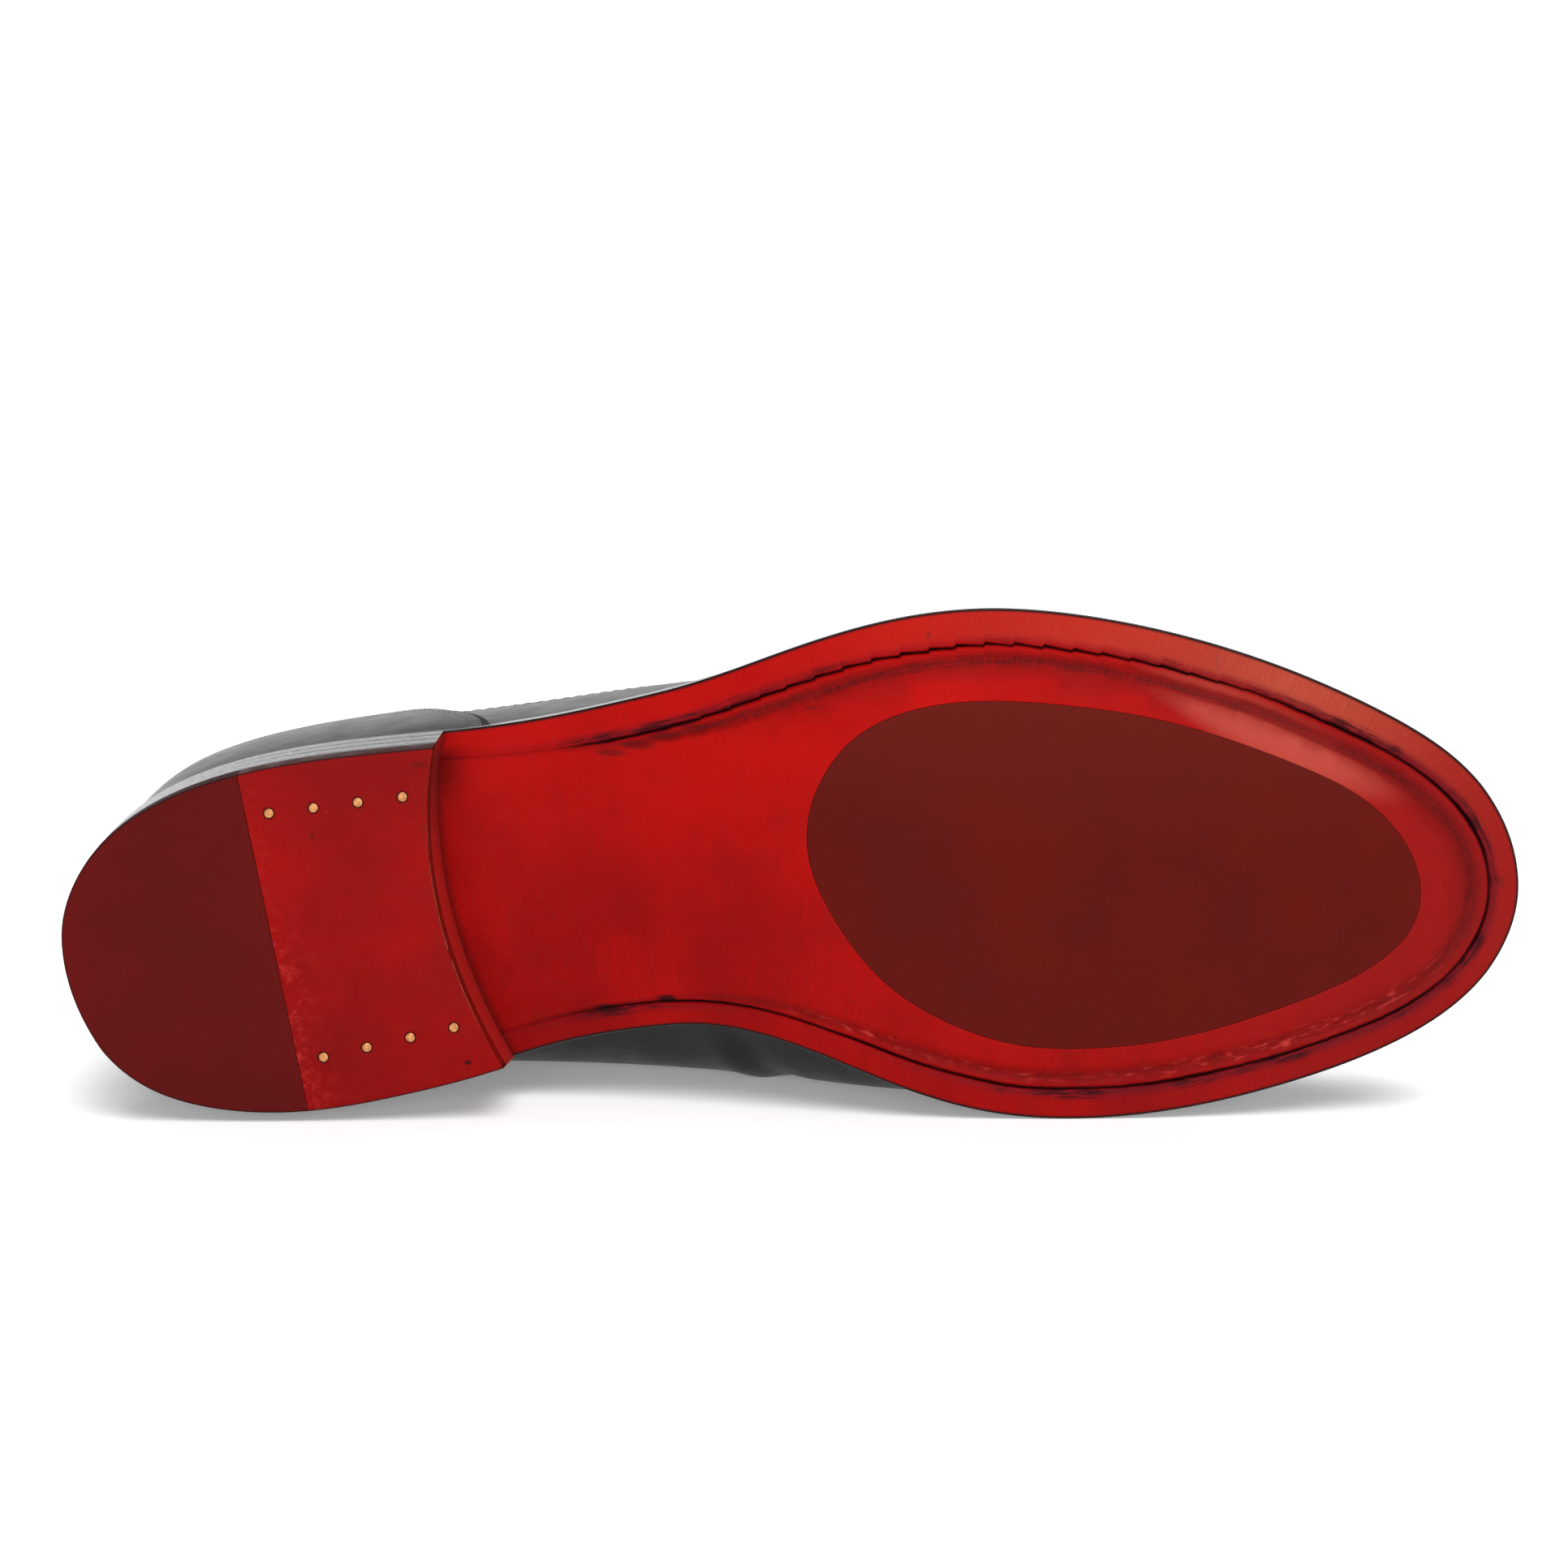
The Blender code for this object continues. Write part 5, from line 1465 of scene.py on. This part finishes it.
@once
def heel_red():
    finish = Finish("heel_red", Specular_IOR_Level=0.04)
    scuff = finish.noise(1.8, 4.0, 0.7)
    near = finish.times(finish.mask("joint"), finish.span(scuff, 0.48, 0.66), 0.5)
    rubs = finish.span(finish.noise(4.0, 4.0, 0.7), 0.4, 0.54)
    red_ground(finish)
    finish.tint(finish.spread(finish.noise(18.0, 3.0, 0.5), 0.1, 0.4), "heel_shade")
    # Painted shade towards the heel's upper edge
    finish.tint(finish.span(finish.axes()[2], 0.042, 0.066, 0.0, 0.5), "heel_top_shade")
    finish.tint(finish.math("MAXIMUM", near, finish.span(scuff, 0.66, 0.82, 0.0, 0.35)), "scuff")
    # Painted shade in the holes round the nails
    finish.tint(finish.span(finish.mask("ring"), 0.2, 0.8, 0.0, 0.6), "nail_hole_shade")
    finish.tint(finish.span(finish.mask("rim"), 0.2, 1.0, 0.0, 0.9), "heel_rim")
    finish.tint(finish.times(finish.mask("browned"), finish.spread(scuff, 0.75, 1.0)), "browned")
    finish.tint(finish.times(finish.mask("worn"), rubs), "worn")
    roughness = finish.spread(finish.noise(4.0, 4.0), 0.42, 0.58)
    return finish.finish(roughness, leather_bump(finish, 0.5, 0.012))


@once
def sole_rubber():
    finish = Finish("rubber_brown", Specular_IOR_Level=0.045)
    clouds = finish.noise(24.0, 4.0)
    finish.shades(clouds, "rubber_dark", "rubber")
    finish.tint(finish.span(finish.axes()[2], 0.045, 0.075, 0.0, 0.5), "rubber_lit")
    finish.tint(finish.span(finish.noise(1.0, 2.0), 0.7, 0.8, 0.0, 0.35), "rubber_speck")
    finish.tint(finish.span(finish.noise(0.5, 2.0), 0.72, 0.8, 0.0, 0.25), "rubber_dust")
    return finish.finish(finish.spread(clouds, 0.6, 0.72), rubber_bump(finish))


@once
def heel_rubber():
    finish = Finish("heel_rubber", Specular_IOR_Level=0.045)
    clouds = finish.noise(20.0, 4.0)
    finish.shades(clouds, "heel_rubber_dark", "heel_rubber")
    finish.tint(finish.span(finish.mask("rim"), 0.2, 1.0, 0.0, 0.85), "heel_rubber_rim")
    return finish.finish(finish.spread(clouds, 0.6, 0.72), rubber_bump(finish))


def rubber_bump(finish):
    lumps = finish.bump(finish.noise(3.0, 3.0), 0.06)
    return finish.bump(finish.noise(0.35, 2.0), 0.02, lumps)


@once
def sole_edging():
    finish = Finish("sole_edge", Coat_Weight=0.5, Coat_Roughness=0.2)
    fibre = finish.drawn(2.5, 0.25, 4.0, 0.65)
    finish.shades(fibre, "edge_dark", "edge", 0.35)
    return finish.finish(finish.spread(fibre, 0.3, 0.42), finish.bump(fibre, 0.02))


@once
def heel_edge():
    finish = Finish("heel_edge", Coat_Weight=0.5, Coat_Roughness=0.2)
    fibre = finish.noise(1.2, 4.0, 0.7)
    finish.shades(finish.drawn(0.2, 0.2, 3.0, 0.6, ("lift", "lift")), "lift_dark", "lift", 0.35, 0.65)
    finish.tint(finish.span(fibre, 0.5, 0.75, 0.0, 0.5), "edge_dark")
    finish.tint(finish.mask("breast"), "breast")
    # Painted shade at the breast's foot and outer end
    finish.tint(finish.mask("foot"), "foot")
    return finish.finish(finish.spread(fibre, 0.28, 0.45), finish.bump(fibre, 0.008))


@once
def brass():
    finish = Finish("brass", Metallic=1.0)
    finish.shades(finish.noise(0.5, 4.0, 0.65), "brass", "tarnish", 0.35)
    scratch = finish.noise(0.16, 3.0)
    return finish.finish(finish.spread(scratch, 0.42, 0.6), finish.bump(scratch, 0.012))


@once
def black_leather():
    finish = Finish("upper_black", Specular_IOR_Level=0.2, Coat_Weight=0.11, Coat_Roughness=0.12)
    finish.shades(finish.noise(14.0, 4.0), "black", "black_pale")
    grain = finish.span(finish.cells(0.75), 0.0, 0.2)
    pores = finish.span(finish.noise(0.35, 2.0), 0.35, 0.6)
    normal = finish.bump(grain, 0.014, finish.bump(finish.noise(9.0, 3.0), 0.04))
    roughness = finish.spread(finish.noise(5.0, 4.0, 0.6), 0.33, 0.4)
    return finish.finish(roughness, finish.bump(pores, 0.008, normal))


@once
def cut_edge():
    finish = Finish("cut_edge", Specular_IOR_Level=0.12)
    fibre = finish.noise(0.4, 4.0, 0.7)
    finish.shades(fibre, "cut_dark", "cut", 0.35)
    return finish.finish(finish.spread(fibre, 0.6, 0.8), finish.bump(fibre, 0.03))


@once
def tan_leather(name):
    finish = Finish(name, Specular_IOR_Level=0.4)
    fibre = finish.noise(0.8, 4.0, 0.65)
    finish.shades(finish.noise(20.0, 4.0), "tan_dark", "tan")
    finish.tint(finish.span(fibre, 0.5, 0.8, 0.0, 0.4), "tan_fibre")
    return finish.finish(finish.spread(fibre, 0.5, 0.68), leather_bump(finish, 0.6, 0.015))


@once
def thread(colour):
    finish = Finish("thread", Specular_IOR_Level=0.22, Coat_Weight=0.12, Coat_Roughness=0.12)
    twist = finish.noise(0.25, 2.0)
    pale = [THREAD_LIGHT * value for value in colour]
    finish.colour = finish.mix(finish.spread(twist, 0.0, 1.0), (*colour, 1.0), (*pale, 1.0))
    return finish.finish(finish.spread(twist, 0.36, 0.46), finish.bump(twist, 0.02))


def pale_floor():
    finish = Finish("pale_floor", Specular_IOR_Level=0.1, Emission_Color=(1.0, 1.0, 1.0, 1.0),
                    Emission_Strength=FLOOR_GLOW)
    tone = finish.noise(900.0, 2.0)
    finish.colour = finish.mix(finish.spread(tone, 0.0, 1.0), FLOOR_DARK, FLOOR_PALE)
    return finish.finish(0.9, finish.bump(tone, 0.01))


def make_stage():
    """Round pale floor that turns up into a low wall far from the shoe, lit from below like a light table."""
    turn = np.linspace(0.0, math.pi / 2, 16)[1:, None]
    flat = np.array(FLOOR_RINGS)[:, None]
    radius = np.vstack([flat, FLOOR_RADIUS + WALL_RISE * np.sin(turn)])
    height = np.vstack([0 * flat, WALL_RISE - WALL_RISE * np.cos(turn)])
    cos, sin = circle(72)
    points = np.stack(np.broadcast_arrays(radius * cos, radius * sin, height), axis=-1)
    numbers = np.arange(points[..., 0].size).reshape(len(radius), -1)
    faces = [numbers[0].tolist()]
    for low, high in zip(numbers, numbers[1:]):
        faces += np.column_stack([low, high, np.roll(high, -1), np.roll(low, -1)]).tolist()
    mesh = bpy.data.meshes.new("floor")
    mesh.from_pydata(points.reshape(-1, 3).tolist(), [], faces)
    mesh.shade_smooth()
    mesh.materials.append(pale_floor())
    floor = add_object("floor", mesh)


def aim(lamp, way):
    """Turn a lamp so that it shines along a direction."""
    lamp.rotation_euler = Vector(way).to_track_quat("-Z", "Y").to_euler()


def add_softbox(name, place, target, size, power):
    """Rectangular studio light that faces a target."""
    light = bpy.data.lights.new(name, "AREA")
    light.shape = "RECTANGLE"
    light.size, light.size_y = size
    light.energy = power
    lamp = add_object(name, light)
    lamp.location = place
    aim(lamp, Vector(target) - Vector(place))


def make_light():
    """Dim sky, a broad key light from the front and above, and two softboxes."""
    world = bpy.data.worlds.new("studio")
    world.use_nodes = True
    background = world.node_tree.nodes["Background"]
    background.inputs["Color"].default_value = SKY_COLOUR
    background.inputs["Strength"].default_value = SKY_STRENGTH
    bpy.context.scene.world = world
    sun = bpy.data.lights.new("key", "SUN")
    sun.energy = KEY_STRENGTH
    sun.angle = KEY_SPREAD
    aim(add_object("key", sun), KEY_WAY)
    for row in named_rows(SOFTBOX_COLUMNS, SOFTBOXES):
        add_softbox(**row)
    bpy.context.scene.view_settings.view_transform = "Standard"


def make_camera():
    """Camera at the photo's angle."""
    right, down = unit(np.array(CAMERA_RIGHT)), np.array(CAMERA_DOWN)
    down = unit(down - right * (right @ down))
    axes = TURN @ np.column_stack([right, -down, -np.cross(right, down)])
    data = bpy.data.cameras.new("camera")
    data.sensor_width = SENSOR
    data.lens = SENSOR * FOCAL_PIXELS / PICTURE_SIDE
    camera = add_object("camera", data)
    camera.matrix_world = Matrix.Translation(in_part(CAMERA_PLACE)) @ Matrix(axes.tolist()).to_4x4()
    bpy.context.scene.camera = camera


def main():
    make_stage()
    make_light()
    make_camera()
    make_outsole()
    make_insert()
    make_stack()
    make_top_piece("leather", heel_red(), "heel_leather")
    make_top_piece("rubber", heel_rubber(), "heel_rubber")
    make_nails()
    wall_sheet("upper_shell", 0.0, SHELL, 1.0, black_leather(), ["upper"])
    lining = tan_leather("lining_tan")
    wall_sheet("lining", -LINING_DEPTH, WALL - LINING_DEPTH, LINING_TOP, lining)
    make_counter()
    make_insole()
    make_tongue()
    make_apron_seam()
    make_stitches()
    make_welt_stitches()
    make_knot()
    for seed, row in enumerate(named_rows(TASSEL_COLUMNS, TASSELS), FRINGE_SEED):
        make_tassel(seed=seed, **row)


main()
